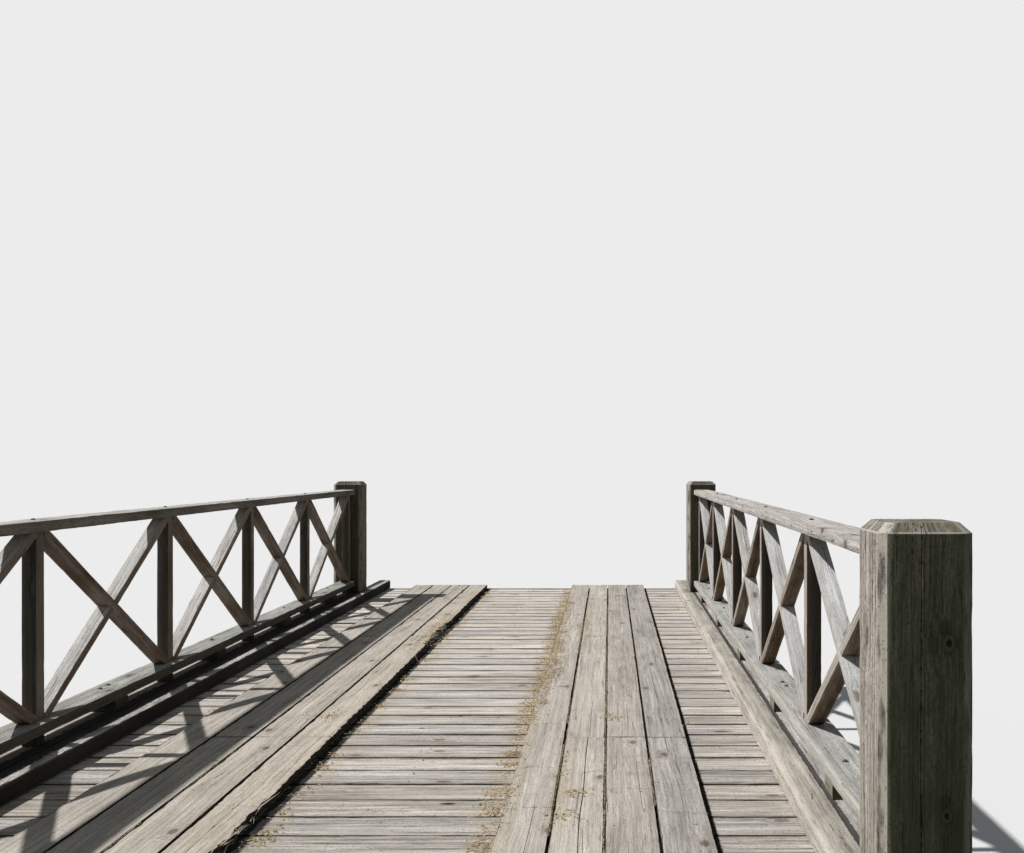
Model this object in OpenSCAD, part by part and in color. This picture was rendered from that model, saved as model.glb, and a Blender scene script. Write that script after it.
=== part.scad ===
// Timber footbridge: plank deck with two raised wheel tracks, curbs, and a braced railing on each side.
// Millimetres. X runs across the bridge, Y along it and Z up, with the origin on the ground at its centre.

/* [Railing] */
// Clear width across the bridge between the two railings
rail_clear_w = 3435; // [2400:5:4000]
// Number of bays in each railing
bays = 5; // [3:1:6]
// Spacing of the uprights along the bridge, centre to centre
bay_pitch = 1510; // [1200:5:1700]
// Width of the top and bottom rails, which lie flat
rail_w = 165; // [130:1:200]
// Thickness of the top and bottom rails
rail_t = 55; // [38:1:70]
// Height of the top rail's upper face above the deck
rail_rise = 1130; // [950:5:1250]
// Width of an upright across the railing
upright_w = 70; // [50:1:90]
// Depth of an upright along the railing
upright_d = 76; // [50:1:100]
// Eased edge along the rails
rail_ease = 5; // [1:0.5:10]
// Open joint where two lengths of rail meet end to end
rail_seam = 1.6; // [0.5:0.1:3]
// Bearing of the middle length of a bottom rail on the block under its joint
rail_bearing = 10; // [5:1:40]

/* [Cross braces] */
// Width of a brace across the railing
brace_w = 76; // [40:1:90]
// Depth of a brace in the plane of the railing
brace_d = 48; // [35:1:110]
// Clearance around the half-lap where two braces cross
lap_gap = 0.3; // [0.3:0.1:1]

/* [End posts] */
// Width of a square end post
post_w = 286; // [220:1:320]
// Height of a post's flat top above the deck
post_rise = 1212; // [1150:1:1400]
// Chamfer down a post's four vertical edges
post_chamfer = 25; // [5:1:40]
// Weathering bevel around a post's top
post_bevel = 31; // [10:1:50]
// Clearance where deck planks and curbs are notched round a post
post_notch_gap = 3; // [1:0.5:8]

/* [Curbs and blocks] */
// Width of a curb timber
curb_w = 122; // [90:1:140]
// Height of the curbs, and of the sills beside them
curb_h = 90; // [60:1:120]
// Bevel along a curb's worn upper edge, on the side of the walkway
curb_bevel = 10; // [2:1:20]
// Open joint between a curb and the sill beside it
sill_joint = 1.5; // [0.5:0.5:5]
// Height of the spacer blocks under the bottom rail
block_h = 60; // [30:1:90]
// Length of the block in the middle of each bay
block_l = 150; // [80:5:500]
// Width of the blocks, a little less than the rail above them
block_w = 155; // [100:1:165]

/* [Deck] */
// Width of a deck plank, along the bridge
plank_w = 213; // [180:1:230]
// Thickness of the deck planks
plank_t = 75; // [50:1:100]
// Drainage gap between two deck planks
plank_gap = 7; // [3:1:12]
// Length of deck beyond the end posts, at each end
deck_run = 888; // [600:1:1200]
// Deck edge outside the rails
deck_lip = 18; // [0:1:40]

/* [Wheel tracks] */
// Width of a track board
board_w = 194; // [150:1:230]
// Thickness of the track boards
board_t = 39; // [25:1:50]
// Gap between track boards
board_gap = 7; // [3:1:12]
// Open joint where two lengths of board meet end to end
board_end_gap = 4; // [2:1:8]
// Place along the bridge where the near lengths of board meet the middle ones
near_joint_y = -1900; // [-2400:10:-1000]
// Place along the bridge where the middle lengths of board meet the far ones
far_joint_y = 1300; // [1000:10:2200]
// Place along the bridge where the two lengths of the board at a track's left edge meet
edge_joint_y = 520; // [-900:10:900]
// Place of the left track's centre line across the bridge
left_track_x = -904; // [-1000:1:-600]
// Place of the right track's centre line across the bridge
right_track_x = 843; // [600:1:1000]

/* [Substructure] */
// Width of a stringer
stringer_w = 200; // [150:1:250]
// Depth of a stringer
stringer_h = 300; // [200:1:400]
// Side of the square timbers stacked in the abutments
crib_timber = 280; // [200:1:280]
// Number of timbers stacked in each abutment wall
crib_courses = 2; // [1:1:4]
// Seam between two stacked timbers
course_gap = 0.3; // [0.3:0.1:1]
// Setback of an abutment's back wall from the end of the deck
back_wall_inset = 40; // [0:1:100]

/* [Hidden] */

// Railing line: the posts, rails, uprights and braces of a side share one centre line
rail_x = (rail_clear_w + rail_w) / 2;
railing_half = (bays * bay_pitch + upright_d) / 2;
post_y = railing_half + post_w / 2;
post_inner_x = rail_x - post_w / 2;

// Levels, from the ground up
crib_h = crib_courses * crib_timber;
deck_top = crib_h + stringer_h + plank_t;
sill_top = deck_top + curb_h;
bottom_rail_z = sill_top + block_h;
bay_z = bottom_rail_z + rail_t;
top_rail_z = deck_top + rail_rise - rail_t;

// Joints in the rails: a top rail is in three equal lengths, and the lengths of a bottom rail
// meet on the blocks nearest to those joints
rail_lengths = 3;
top_joint_y = railing_half / rail_lengths;
first_block_y = bays % 2 == 0 ? bay_pitch / 2 : 0;
joint_block_y = first_block_y + round((top_joint_y - first_block_y) / bay_pitch) * bay_pitch;
bottom_joint_y = joint_block_y - block_l / 2 + rail_bearing;

// Clear opening of a bay, which the braces fill from corner to corner
opening_w = bay_pitch - upright_d;
opening_h = top_rail_z - bay_z;
brace_angle = atan2(opening_h, opening_w);
brace_reach = opening_w + opening_h;

// Deck outline and its planks, laid from the near end with the last one ripped to fit
deck_half_w = rail_x + rail_w / 2 + deck_lip;
deck_half_l = post_y + post_w / 2 + deck_run;
deck_l = 2 * deck_half_l;
plank_pitch = plank_w + plank_gap;
least_plank = 60;
plank_count = floor((deck_l - least_plank) / plank_pitch) + 1;
function plank_start(i) = i * plank_pitch;
function plank_end(i) = i == plank_count - 1 ? deck_l : plank_start(i) + plank_w;
third = ceil(plank_count / 3);

// Boards of a track, from its left edge
boards = 4;
board_pitch = board_w + board_gap;
track_w = boards * board_pitch - board_gap;
function joints(i) = i == 0 ? [edge_joint_y] : [near_joint_y, far_joint_y];

// Five stringers, spread evenly between the end posts
stringer_count = 5;
outer_stringer_x = post_inner_x - stringer_w / 2;
stringer_pitch = 2 * outer_stringer_x / (stringer_count - 1);

// Abutments: a wall between the posts, a wall at the deck's end and timbers that tie them
back_wall_y = deck_half_l - back_wall_inset - crib_timber / 2;
back_wall_l = 2 * (rail_x + post_w / 2);
side_timber_start = post_y + post_w / 2;
side_timber_l = back_wall_y - crib_timber / 2 - side_timber_start;

// Section of a timber w wide and h high with its four corners eased
module eased_section(w, h, ease) {
    polygon([
        [-w / 2 + ease, 0], [w / 2 - ease, 0], [w / 2, ease], [w / 2, h - ease],
        [w / 2 - ease, h], [-w / 2 + ease, h], [-w / 2, h - ease], [-w / 2, ease]
    ]);
}

// Block centred across and along the bridge, standing on its base
module block(size) {
    translate([-size.x / 2, -size.y / 2, 0]) cube(size);
}

// Timber of a given section laid along the bridge, centred on Y
module along_bridge(length) {
    rotate([90, 0, 0]) linear_extrude(length, center = true) children();
}

// End post: chamfered square plan, met at the top by a bevel on all four sides
module end_post(side, end) {
    post_h = deck_top + post_rise;
    flat_half = post_w / 2 - post_bevel;
    chamfer_half = post_w / 2 - post_chamfer;
    color([0.50, 0.46, 0.38]) translate([side * rail_x, end * post_y, 0]) intersection() {
        linear_extrude(post_h) polygon([
            [-chamfer_half, -post_w / 2], [chamfer_half, -post_w / 2],
            [post_w / 2, -chamfer_half], [post_w / 2, chamfer_half],
            [chamfer_half, post_w / 2], [-chamfer_half, post_w / 2],
            [-post_w / 2, chamfer_half], [-post_w / 2, -chamfer_half]
        ]);
        rotate([90, 0, 0]) linear_extrude(post_w, center = true) bevelled_elevation(post_h, flat_half);
        rotate([90, 0, 90]) linear_extrude(post_w, center = true) bevelled_elevation(post_h, flat_half);
    }
}

// Elevation of a post with its two upper corners cut at 45 degrees
module bevelled_elevation(height, flat_half) {
    polygon([
        [-post_w / 2, 0], [post_w / 2, 0], [post_w / 2, height - post_bevel],
        [flat_half, height], [-flat_half, height], [-post_w / 2, height - post_bevel]
    ]);
}

// Rail of three planks that lie flat end to end between two end posts
module rail(side, bottom_z, joint_y) {
    color([0.72, 0.70, 0.66]) translate([side * rail_x, 0, bottom_z]) difference() {
        along_bridge(2 * railing_half) eased_section(rail_w, rail_t, rail_ease);
        for (end = [-1, 1])
            translate([0, end * joint_y, -1]) block([rail_w + 2, rail_seam, rail_t + 2]);
    }
}

// Timbers of an upright's section in a row along the bridge, with one against each end post
module upright_row(height) {
    for (i = [0 : bays])
        translate([0, (i - bays / 2) * bay_pitch, 0]) block([upright_w, upright_d, height]);
}

// Uprights between the two rails
module uprights(side) {
    color([0.45, 0.40, 0.34]) translate([side * rail_x, 0, bay_z]) upright_row(opening_h);
}

// Outline of one brace, mitred to the corners of its bay
module brace_outline(slope) {
    intersection() {
        square([opening_w, opening_h], center = true);
        rotate(slope * brace_angle) square([brace_reach, brace_d], center = true);
    }
}

// One brace, with half of its thickness cut away where the other crosses it
module brace(slope) {
    difference() {
        linear_extrude(brace_w, center = true) brace_outline(slope);
        translate([0, 0, slope > 0 ? -lap_gap / 2 : lap_gap / 2 - brace_w])
            linear_extrude(brace_w) rotate(-slope * brace_angle)
                square([brace_reach, brace_d + 2 * lap_gap], center = true);
    }
}

// Crossed pair of braces in one bay, half-lapped flush
module brace_pair(side, bay) {
    color([0.66, 0.63, 0.58])
        translate([side * rail_x, (bay - (bays + 1) / 2) * bay_pitch, bay_z + opening_h / 2])
            rotate([90, 0, 90]) {
                brace(1);
                brace(-1);
            }
}

// Spacers that hold the bottom rail clear of its sill: a block in the middle of each bay
// and a narrow foot in line with each upright
module rail_blocks(side) {
    color([0.48, 0.44, 0.36]) translate([side * rail_x, 0, sill_top]) {
        upright_row(block_h);
        for (i = [1 : bays])
            translate([0, (i - (bays + 1) / 2) * bay_pitch, 0]) block([block_w, block_l, block_h]);
    }
}

// Sill timber under the blocks, between the end posts
module rail_sill(side) {
    color([0.58, 0.55, 0.48]) translate([side * rail_x, 0, deck_top])
        along_bridge(2 * railing_half) translate([-rail_w / 2, 0]) square([rail_w, curb_h]);
}

// Curb along the whole deck, notched where it passes the end posts
module curb(side) {
    curb_x = rail_x - rail_w / 2 - sill_joint - curb_w / 2;
    color([0.64, 0.60, 0.53]) difference() {
        translate([side * curb_x, 0, deck_top]) along_bridge(deck_l) polygon([
            [-side * curb_w / 2, 0], [side * curb_w / 2, 0], [side * curb_w / 2, curb_h],
            [side * (curb_bevel - curb_w / 2), curb_h], [-side * curb_w / 2, curb_h - curb_bevel]
        ]);
        post_notches();
    }
}

// Room that the end posts take out of the deck and the curbs
module post_notches() {
    notch_w = post_w + 2 * post_notch_gap;
    for (side = [-1, 1], end = [-1, 1])
        translate([side * rail_x, end * post_y, deck_top - plank_t - 1])
            block([notch_w, notch_w, plank_t + curb_h + 2]);
}

// Boards of one wheel track, each in two or three lengths, on top of the deck
module track(centre_x) {
    color([0.70, 0.67, 0.60]) for (i = [0 : boards - 1])
        translate([centre_x - track_w / 2 + i * board_pitch, 0, deck_top]) difference() {
            translate([0, -deck_half_l, 0]) cube([board_w, deck_l, board_t]);
            for (joint_y = joints(i))
                translate([-board_gap / 2, joint_y, -1]) cube([board_pitch, board_end_gap, board_t + 2]);
        }
}

// Deck planks from one index to another, cut round the end posts
module deck(first, last) {
    color([0.62, 0.58, 0.52]) difference() {
        for (i = [first : last])
            translate([-deck_half_w, plank_start(i) - deck_half_l, deck_top - plank_t])
                cube([2 * deck_half_w, plank_end(i) - plank_start(i), plank_t]);
        post_notches();
    }
}

// Stringer under the deck, counted from the left
module stringer(index) {
    color([0.42, 0.37, 0.30])
        translate([index * stringer_pitch - outer_stringer_x, 0, crib_h])
            block([stringer_w, 2 * (deck_half_l - back_wall_inset), stringer_h]);
}

// Stack of abutment timbers of one plan size, with a seam between courses
module timber_stack(size) {
    for (course = [0 : crib_courses - 1])
        translate([0, 0, course * crib_timber])
            block([size.x, size.y, crib_timber - (course < crib_courses - 1 ? course_gap : 0)]);
}

// Wall of timbers between the two end posts, which carries the stringers
module front_wall(end) {
    color([0.36, 0.32, 0.26]) translate([0, end * post_y, 0])
        timber_stack([2 * post_inner_x, crib_timber]);
}

// Wall of timbers at the end of the deck
module back_wall(end) {
    color([0.36, 0.32, 0.26]) translate([0, end * back_wall_y, 0])
        timber_stack([back_wall_l, crib_timber]);
}

// Timbers that tie a back wall to the two end posts
module side_timbers(end) {
    color([0.38, 0.34, 0.28]) for (side = [-1, 1])
        translate([side * rail_x, end * (side_timber_start + side_timber_l / 2), 0])
            timber_stack([crib_timber, side_timber_l]);
}

end_post(-1, -1);  // near_left_post
end_post(1, -1);  // near_right_post
end_post(-1, 1);  // far_left_post
end_post(1, 1);  // far_right_post
rail(-1, top_rail_z, top_joint_y);  // left_top_rail
rail(1, top_rail_z, top_joint_y);  // right_top_rail
rail(-1, bottom_rail_z, bottom_joint_y);  // left_bottom_rail
rail(1, bottom_rail_z, bottom_joint_y);  // right_bottom_rail
uprights(-1);  // left_uprights
uprights(1);  // right_uprights
for (bay = [1 : bays]) {
    brace_pair(-1, bay);
    brace_pair(1, bay);
}
rail_blocks(-1);  // left_rail_blocks
rail_blocks(1);  // right_rail_blocks
rail_sill(-1);  // left_rail_sill
rail_sill(1);  // right_rail_sill
curb(-1);  // left_curb
curb(1);  // right_curb
track(left_track_x);  // left_track
track(right_track_x);  // right_track
deck(0, third - 1);  // near_deck
deck(third, 2 * third - 1);  // middle_deck
deck(2 * third, plank_count - 1);  // far_deck
stringer(0);  // left_outer_stringer
stringer(1);  // left_inner_stringer
stringer(2);  // middle_stringer
stringer(3);  // right_inner_stringer
stringer(4);  // right_outer_stringer
front_wall(-1);  // near_front_wall
back_wall(-1);  // near_back_wall
side_timbers(-1);  // near_side_timbers
front_wall(1);  // far_front_wall
back_wall(1);  // far_back_wall
side_timbers(1);  // far_side_timbers
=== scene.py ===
"""Looks of the timber footbridge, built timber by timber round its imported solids."""
import logging
import math
from dataclasses import dataclass, field, replace
from enum import Enum
from typing import Callable, Iterable, Mapping, Sequence, Union

import bpy
import numpy as np
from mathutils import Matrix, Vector


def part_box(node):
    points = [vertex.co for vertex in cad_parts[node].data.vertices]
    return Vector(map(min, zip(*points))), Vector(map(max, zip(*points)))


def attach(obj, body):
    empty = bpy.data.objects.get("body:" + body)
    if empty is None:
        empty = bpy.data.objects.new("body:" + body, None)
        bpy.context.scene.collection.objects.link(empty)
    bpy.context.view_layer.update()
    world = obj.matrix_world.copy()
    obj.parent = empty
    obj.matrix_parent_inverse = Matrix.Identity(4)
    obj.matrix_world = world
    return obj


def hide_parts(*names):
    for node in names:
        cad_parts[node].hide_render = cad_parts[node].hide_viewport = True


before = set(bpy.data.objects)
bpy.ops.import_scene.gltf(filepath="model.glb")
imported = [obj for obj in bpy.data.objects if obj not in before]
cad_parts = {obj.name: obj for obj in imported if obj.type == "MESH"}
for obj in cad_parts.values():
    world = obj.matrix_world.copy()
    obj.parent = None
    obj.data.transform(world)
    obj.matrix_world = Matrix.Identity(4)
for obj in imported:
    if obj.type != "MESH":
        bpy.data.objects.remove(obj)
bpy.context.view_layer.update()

LOG = logging.getLogger("footbridge")
Colour = tuple[float, float, float]
Curve = Callable[[np.ndarray], np.ndarray]
Box = tuple[Vector, Vector]
# Half of the distance between the two stations that make a step in a timber.
SEAM = 0.0002
# How far the random numbers of the tones lie above those of the shapes.
TONES = 5000
# Angle in degrees from which an edge between two faces is sharp.
SHARP = 38


def srgb(red: int, green: int, blue: int) -> Colour:
    """Linear colour of one given in the usual 0 to 255 steps."""
    return tuple(((c / 255 + 0.055) / 1.055) ** 2.4 if c > 10 else c / 3295 for c in (red, green, blue))


# Colours of what time has left on the timber and the iron, and of the painted shade, shadow and highlight that
# several of them also stand for.
KNOT = srgb(88, 68, 50)
LICHEN_FILM = srgb(146, 152, 134)
LICHEN_CRUST = srgb(204, 208, 198)
ALGAE_AND_SHADE = srgb(61, 70, 43)
MOSS = srgb(118, 112, 72)
WORN_EDGE_AND_HIGHLIGHT = srgb(222, 214, 200)
CHECK_DARK = srgb(44, 37, 31)
PIT = srgb(70, 62, 54)
DUST = srgb(200, 178, 142)
DUST_SHADOW = srgb(92, 76, 58)
SOIL_AND_SHADOW = srgb(30, 26, 23)
MARK = srgb(30, 24, 20)
PALE_MARK = srgb(106, 108, 84)
CRACK_SHADE_AND_DIRT = srgb(24, 20, 16)
DIRT_AND_SHADE = srgb(26, 22, 19)
RUST_PIT = srgb(22, 17, 14)
GREEN_STALK = srgb(120, 118, 70)
# Greatest raggedness of the rim of a band of painted shadow and soiling.
RAGGED_RIM = 0.08


class Relief:
    """Smooth random heights from -1 to 1, the same on every run."""

    def __init__(self, seed: int) -> None:
        """Fills the table of heights that belongs to a seed."""
        self.table = np.random.default_rng(seed).uniform(-1.0, 1.0, (64, 64))

    def at(self, x: np.ndarray | float, y: np.ndarray | float = 0.0) -> np.ndarray:
        """Height at places that are given in steps of the table.

        Args:
            x: places along the first direction.
            y: places along the second direction.

        Returns:
            Smoothly interpolated heights.
        """
        x, y = np.broadcast_arrays(np.asarray(x, float), np.asarray(y, float))
        column, row = np.floor(x).astype(int), np.floor(y).astype(int)
        u, v = x - column, y - row
        u, v = u * u * (3 - 2 * u), v * v * (3 - 2 * v)
        left, right, low, high = column % 64, (column + 1) % 64, row % 64, (row + 1) % 64
        near = self.table[left, low] * (1 - u) + self.table[right, low] * u
        far = self.table[left, high] * (1 - u) + self.table[right, high] * u
        return near * (1 - v) + far * v


class Side(Enum):
    """Long faces of a timber, in order round its section."""

    TOP = 0
    RIGHT = 1
    BOTTOM = 2
    LEFT = 3


class Run(Enum):
    """Directions of a timber's grain, width and thickness on the bridge."""

    ACROSS = ((1, 0, 0), (0, 1, 0), (0, 0, 1))
    ALONG = ((0, 1, 0), (-1, 0, 0), (0, 0, 1))
    UP = ((0, 0, 1), (1, 0, 0), (0, 1, 0))

    @property
    def order(self) -> tuple[int, ...]:
        """Which of the bridge's directions the grain, width and thickness follow."""
        return tuple(max(range(3), key=lambda k: abs(way[k])) for way in self.value)

    def sizes(self, size: Vector) -> tuple[float, ...]:
        """Length, width and thickness of a timber that fills a box of this size."""
        return tuple(size[k] for k in self.order)

    def start(self, low: Vector, high: Vector) -> tuple[float, ...]:
        """Middle of the first end of a timber that fills a box."""
        return tuple(a if k == self.order[0] else (a + b) / 2 for k, (a, b) in enumerate(zip(low, high)))


class End(Enum):
    """Ways to close the two ends of a timber."""

    FLAT = "one face"
    MITRE = "two faces that meet at the middle line"
    RINGS = "rings of faces with checks from the heart"


@dataclass(frozen=True)
class Split:
    """A drying check that opens along the grain.

    Attributes:
        side: face that it opens on.
        place: distance from the middle of that face, along width or thickness.
        start: where it begins along the timber.
        end: where it stops along the timber.
        gape: width of its mouth.
        depth: depth at its widest.
    """

    side: Side
    place: float
    start: float
    end: float
    gape: float
    depth: float


@dataclass(frozen=True)
class Crack:
    """A break across the grain of the upper face.

    Attributes:
        place: where it lies along the timber.
        low: where it starts across the timber.
        high: where it ends across the timber.
        gape: width of its mouth.
        depth: depth at its widest.
    """

    place: float
    low: float
    high: float
    gape: float
    depth: float


@dataclass(frozen=True)
class Notch:
    """A stretch where only part of the section is left.

    Attributes:
        start: where it begins along the timber, for each place across.
        end: where it stops along the timber, for each place across.
        width: lowest and highest place left across the timber.
        depth: lowest and highest place left through the timber.
    """

    start: Curve
    end: Curve
    width: tuple[float, float]
    depth: tuple[float, float]


def square_cut(place: float) -> Curve:
    """A cut straight across a timber."""
    return lambda v: np.full_like(v, place)


@dataclass
class Timber:
    """One sawn and weathered timber, as lines along it and stations across it.

    Attributes:
        length: size along the grain.
        width: size across the grain.
        depth: thickness.
        ease: eased edges, from upper right round to upper left.
        corner: share of an eased edge that is cut off at its middle.
        step: spacing of the stations.
        lane: spacing of the lines.
        wander: sideways drift of the grain.
        wear: depth of the hollows in the faces.
        chips: depth of the bites out of the edges.
        settle: how far the upper face has worn down.
        cup: how far the upper face is hollowed.
        torn: stretches of the left edge that are torn off, each as start, end and depth.
        tip: distance over which a timber narrows to its end, and by how much.
        ends: how the ends are closed.
        splits: checks along the grain.
        cracks: breaks across the grain.
        notches: places where the timber is cut away.
        start_cut: where the timber begins for each place across.
        end_cut: where the timber stops for each place across.
        rings: number of rings that close an end.
        clear: distance from a split within which a face has no other line.
        sharp: an edge that is eased less than this has no line of its own.
    """

    length: float = 0.0
    width: float = 0.0
    depth: float = 0.0
    ease: tuple[float, float, float, float] = (0.003, 0.003, 0.003, 0.003)
    corner: float = 0.293
    step: float = 0.05
    lane: float = 0.03
    wander: float = 0.003
    wear: float = 0.0012
    chips: float = 0.003
    settle: float = 0.0
    cup: float = 0.0
    torn: Sequence[tuple[float, float, float]] = ()
    tip: tuple[float, float] = (0.0, 0.0)
    ends: End = End.FLAT
    splits: Sequence[Split] = ()
    cracks: Sequence[Crack] = ()
    notches: Sequence[Notch] = ()
    start_cut: Curve | None = None
    end_cut: Curve | None = None
    rings: int = 7
    clear: float = 0.006
    sharp: float = 0.0005

    def section(self) -> None:
        """Sets out the lines round the section, with three for each split."""
        across, through = self.width / 2, self.depth / 2
        upper_right, lower_right, lower_left, upper_left = self.ease
        spans = ((-across + upper_left, across - upper_right), (through - upper_right, -through + lower_right),
                 (across - lower_right, -across + lower_left), (-through + lower_left, through - upper_left))
        rows: list[tuple[float, ...]] = []
        for side, (start, end), ease in zip(Side, spans, self.ease):
            way = 1 if end > start else -1
            sign = 1 if side in (Side.TOP, Side.RIGHT) else -1
            count = max(1, round(abs(end - start) / self.lane))
            mine = [(k, s) for k, s in enumerate(self.splits) if s.side is side]
            places = [(start + (end - start) * k / count, -1, 0) for k in range(count + 1)]
            inner = [p for p in places[1:-1] if all(abs(p[0] - s.place) > self.clear for _, s in mine)]
            places = [places[0], *inner, places[-1]]
            for index, split in mine:
                places += [(split.place + role * way * 0.0005, index, role) for role in (-1, 0, 1)]
            for place, index, role in sorted(places, key=lambda p: p[0] * way):
                span = min(abs(place - start), abs(place - end))
                flat = side in (Side.TOP, Side.BOTTOM)
                spot = (place, sign * through, 0, sign) if flat else (sign * across, place, sign, 0)
                rows.append((*spot, side.value, span, index, role * way))
            if ease > self.sharp:
                cut, lean = ease * self.corner, math.sqrt(0.5)
                up = 1 if side in (Side.TOP, Side.LEFT) else -1
                rows.append((sign * (across - cut), up * (through - cut), sign * lean, up * lean,
                             side.value, 0.0, -1, 0))
        table = np.array(rows)
        self.v, self.w, self.nv, self.nw = table[:, 0], table[:, 1], table[:, 2], table[:, 3]
        self.side, self.span = table[:, 4].astype(int), table[:, 5]
        self.split, self.role = table[:, 6].astype(int), table[:, 7]
        gap = np.hypot(np.diff(self.v, append=self.v[0]), np.diff(self.w, append=self.w[0]))
        self.round = np.concatenate([[0.0], np.cumsum(gap)[:-1]])

    def stations(self) -> None:
        """Sets out where each line has its points, cut by cut along the timber."""
        begin, finish = self.start_cut or square_cut(0.0), self.end_cut or square_cut(self.length)
        keys: list[tuple[np.ndarray, int, int]] = []
        middle = np.zeros(1)
        for index, notch in enumerate(self.notches):
            first, last = notch.start(self.v), notch.end(self.v)
            if notch.start(middle)[0] > begin(middle)[0] + SEAM:
                keys += [(first - SEAM, -1, -1), (first + SEAM, index, -1)]
            if notch.end(middle)[0] < finish(middle)[0] - SEAM:
                keys += [(last - SEAM, index, -1), (last + SEAM, -1, -1)]
        for index, crack in enumerate(self.cracks):
            slant = 0.020 * self.relief.at(self.v / 0.09, index * 5.1)
            slant += 0.006 * self.relief.at(self.v / 0.02, index * 3.7)
            path = crack.place + slant * (self.side == 0)
            keys += [(path + lean, -1, index if lean == 0 else -1)
                     for lean in (-crack.gape / 2, 0.0, crack.gape / 2)]
        if self.tip[0]:
            keys.append((np.full_like(self.v, self.length - self.tip[0]), -1, -1))
        keys.sort(key=lambda key: float(key[0].mean()))
        inside = [i for i, n in enumerate(self.notches) if n.start(middle)[0] <= begin(middle)[0] + SEAM]
        outside = [i for i, n in enumerate(self.notches) if n.end(middle)[0] >= finish(middle)[0] - SEAM]
        keys.insert(0, (begin(self.v), inside[0] if inside else -1, -1))
        keys.append((finish(self.v), outside[0] if outside else -1, -1))
        found = []
        for (here, zone, crack), (there, _, _) in zip(keys, keys[1:]):
            count = max(1, round(float((there - here).mean()) / self.step))
            found += [(here + (there - here) * k / count, zone, -1 if k else crack) for k in range(count)]
        self.u, self.zone, self.crack = map(np.array, zip(*found, (*keys[-1][:2], -1)))

    def taper(self, split: Split, u: np.ndarray) -> np.ndarray:
        """How far open a split is, which is fully where it runs out of an end.

        Args:
            split: the split.
            u: places along the timber.

        Returns:
            Values from 0 to 1.
        """
        t = (u - (split.start + split.end) / 2) / ((split.end - split.start) / 2)
        runs_out = (split.start <= self.u.min()) & (t < 0) | (split.end >= self.u.max()) & (t > 0)
        return np.sqrt(np.clip(1 - np.where(runs_out, 0, t) ** 2, 0, 1))

    def worn(self) -> tuple[np.ndarray, np.ndarray]:
        """Finds how far each point is worn in, and how deep it lies in a split.

        Returns:
            Depth below the sawn face, and scar strength from 0 to 1.
        """
        u, around = self.u, self.round[None, :]
        inward = self.wear * (0.5 + 0.5 * self.relief.at(u / 0.34, around / 0.11))
        inward += 0.4 * self.wear * (0.5 + 0.5 * self.relief.at(u / 0.07, around / 0.03 + 9))
        near_edge = np.exp(-self.span / 0.007)[None, :]
        bite = np.clip(self.relief.at(u / 0.11, self.side[None, :] * 5.3 + 20) - 0.25, 0, 1) ** 2
        nibble = np.clip(self.relief.at(u / 0.035, self.side[None, :] * 3.1 + 40) - 0.1, 0, 1)
        inward += self.chips * near_edge * (0.25 + 1.6 * bite + 0.5 * nibble)
        top = (self.side == Side.TOP.value)[None, :] & (self.nw > 0.5)[None, :]
        hollow = 1 - np.clip(np.abs(self.v) * 2 / self.width, 0, 1) ** 2
        inward += top * (self.settle + self.cup * hollow[None, :])
        scar = np.zeros_like(u)
        for index, split in enumerate(self.splits):
            lips = self.split == index
            taper = self.taper(split, u[:, lips]) * (0.75 + 0.25 * self.relief.at(u[:, lips] / 0.05, index + 50))
            inward[:, lips] += split.depth * taper * (self.role[lips] == 0)
            scar[:, lips] = np.maximum(scar[:, lips], taper * np.where(self.role[lips] == 0, 1, 0.25))
        for station in np.flatnonzero(self.crack >= 0):
            crack = self.cracks[self.crack[station]]
            within = (self.v > crack.low) & (self.v < crack.high) & (self.side == 0) & (self.nw > 0.5)
            strength = np.clip(0.6 + 0.6 * self.relief.at(self.v / 0.015, station), 0, 1) * within
            inward[station] += crack.depth * strength
            scar[station] = np.maximum(scar[station], strength)
        return inward, scar

    def bent(self) -> tuple[np.ndarray, np.ndarray]:
        """Lets the lines drift with the grain, opens the splits and cuts the notches.

        Returns:
            Places across and through the timber.
        """
        count = len(self.u)
        v, w = np.tile(self.v, (count, 1)), np.tile(self.w, (count, 1))
        flat = np.abs(self.nw) > 0.5
        drift = self.wander * self.relief.at(self.u / 0.45, 30.5)
        room = np.clip(self.span / 0.03, 0, 1)[None, :]
        v = v + np.where(flat, drift * room, 0)
        w = w + np.where(~flat, drift * room, 0)
        for index, split in enumerate(self.splits):
            lips = self.split == index
            places = v if split.side in (Side.TOP, Side.BOTTOM) else w
            places[:, lips] += self.role[lips] * split.gape / 2 * self.taper(split, self.u[:, lips])
        for index, notch in enumerate(self.notches):
            rows = self.zone == index
            for places, size, (low, high) in ((v, self.width, notch.width), (w, self.depth, notch.depth)):
                places[rows] = low + (places[rows] / size + 0.5) * (high - low)
        return v, w

    def ripped(self, v: np.ndarray, w: np.ndarray) -> np.ndarray:
        """Tears the left edge off where it is torn.

        Args:
            v: places across the timber.
            w: places through the timber.

        Returns:
            The new places across.
        """
        for start, end, depth in self.torn:
            swell = np.clip(1 - ((self.u - (start + end) / 2) / ((end - start) / 2)) ** 2, 0, 1) ** 0.35
            tooth = 0.3 + 0.7 * np.clip(self.relief.at(self.u / 0.035, w / 0.012 + 60) + 0.4, 0, 1)
            within = np.clip(v + self.width / 2, 0, None)
            v = v + depth * swell * tooth * np.clip(1 - within / (1.7 * depth), 0, 1)
        return v

    def narrowed(self, v: np.ndarray, w: np.ndarray) -> tuple[np.ndarray, np.ndarray]:
        """Narrows the timber towards its last end.

        Args:
            v: places across the timber.
            w: places through the timber.

        Returns:
            The new places across and through.
        """
        reach, narrow = self.tip
        if not reach:
            return v, w
        share = np.clip(1 - (self.length - self.u) / reach, 0, 1)
        size = np.maximum(np.abs(self.v) / (self.width / 2), np.abs(self.w) / (self.depth / 2))
        scale = 1 - share * narrow / (self.width / 2) * np.clip(size, 0, 1)
        return v * scale, w * scale

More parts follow.
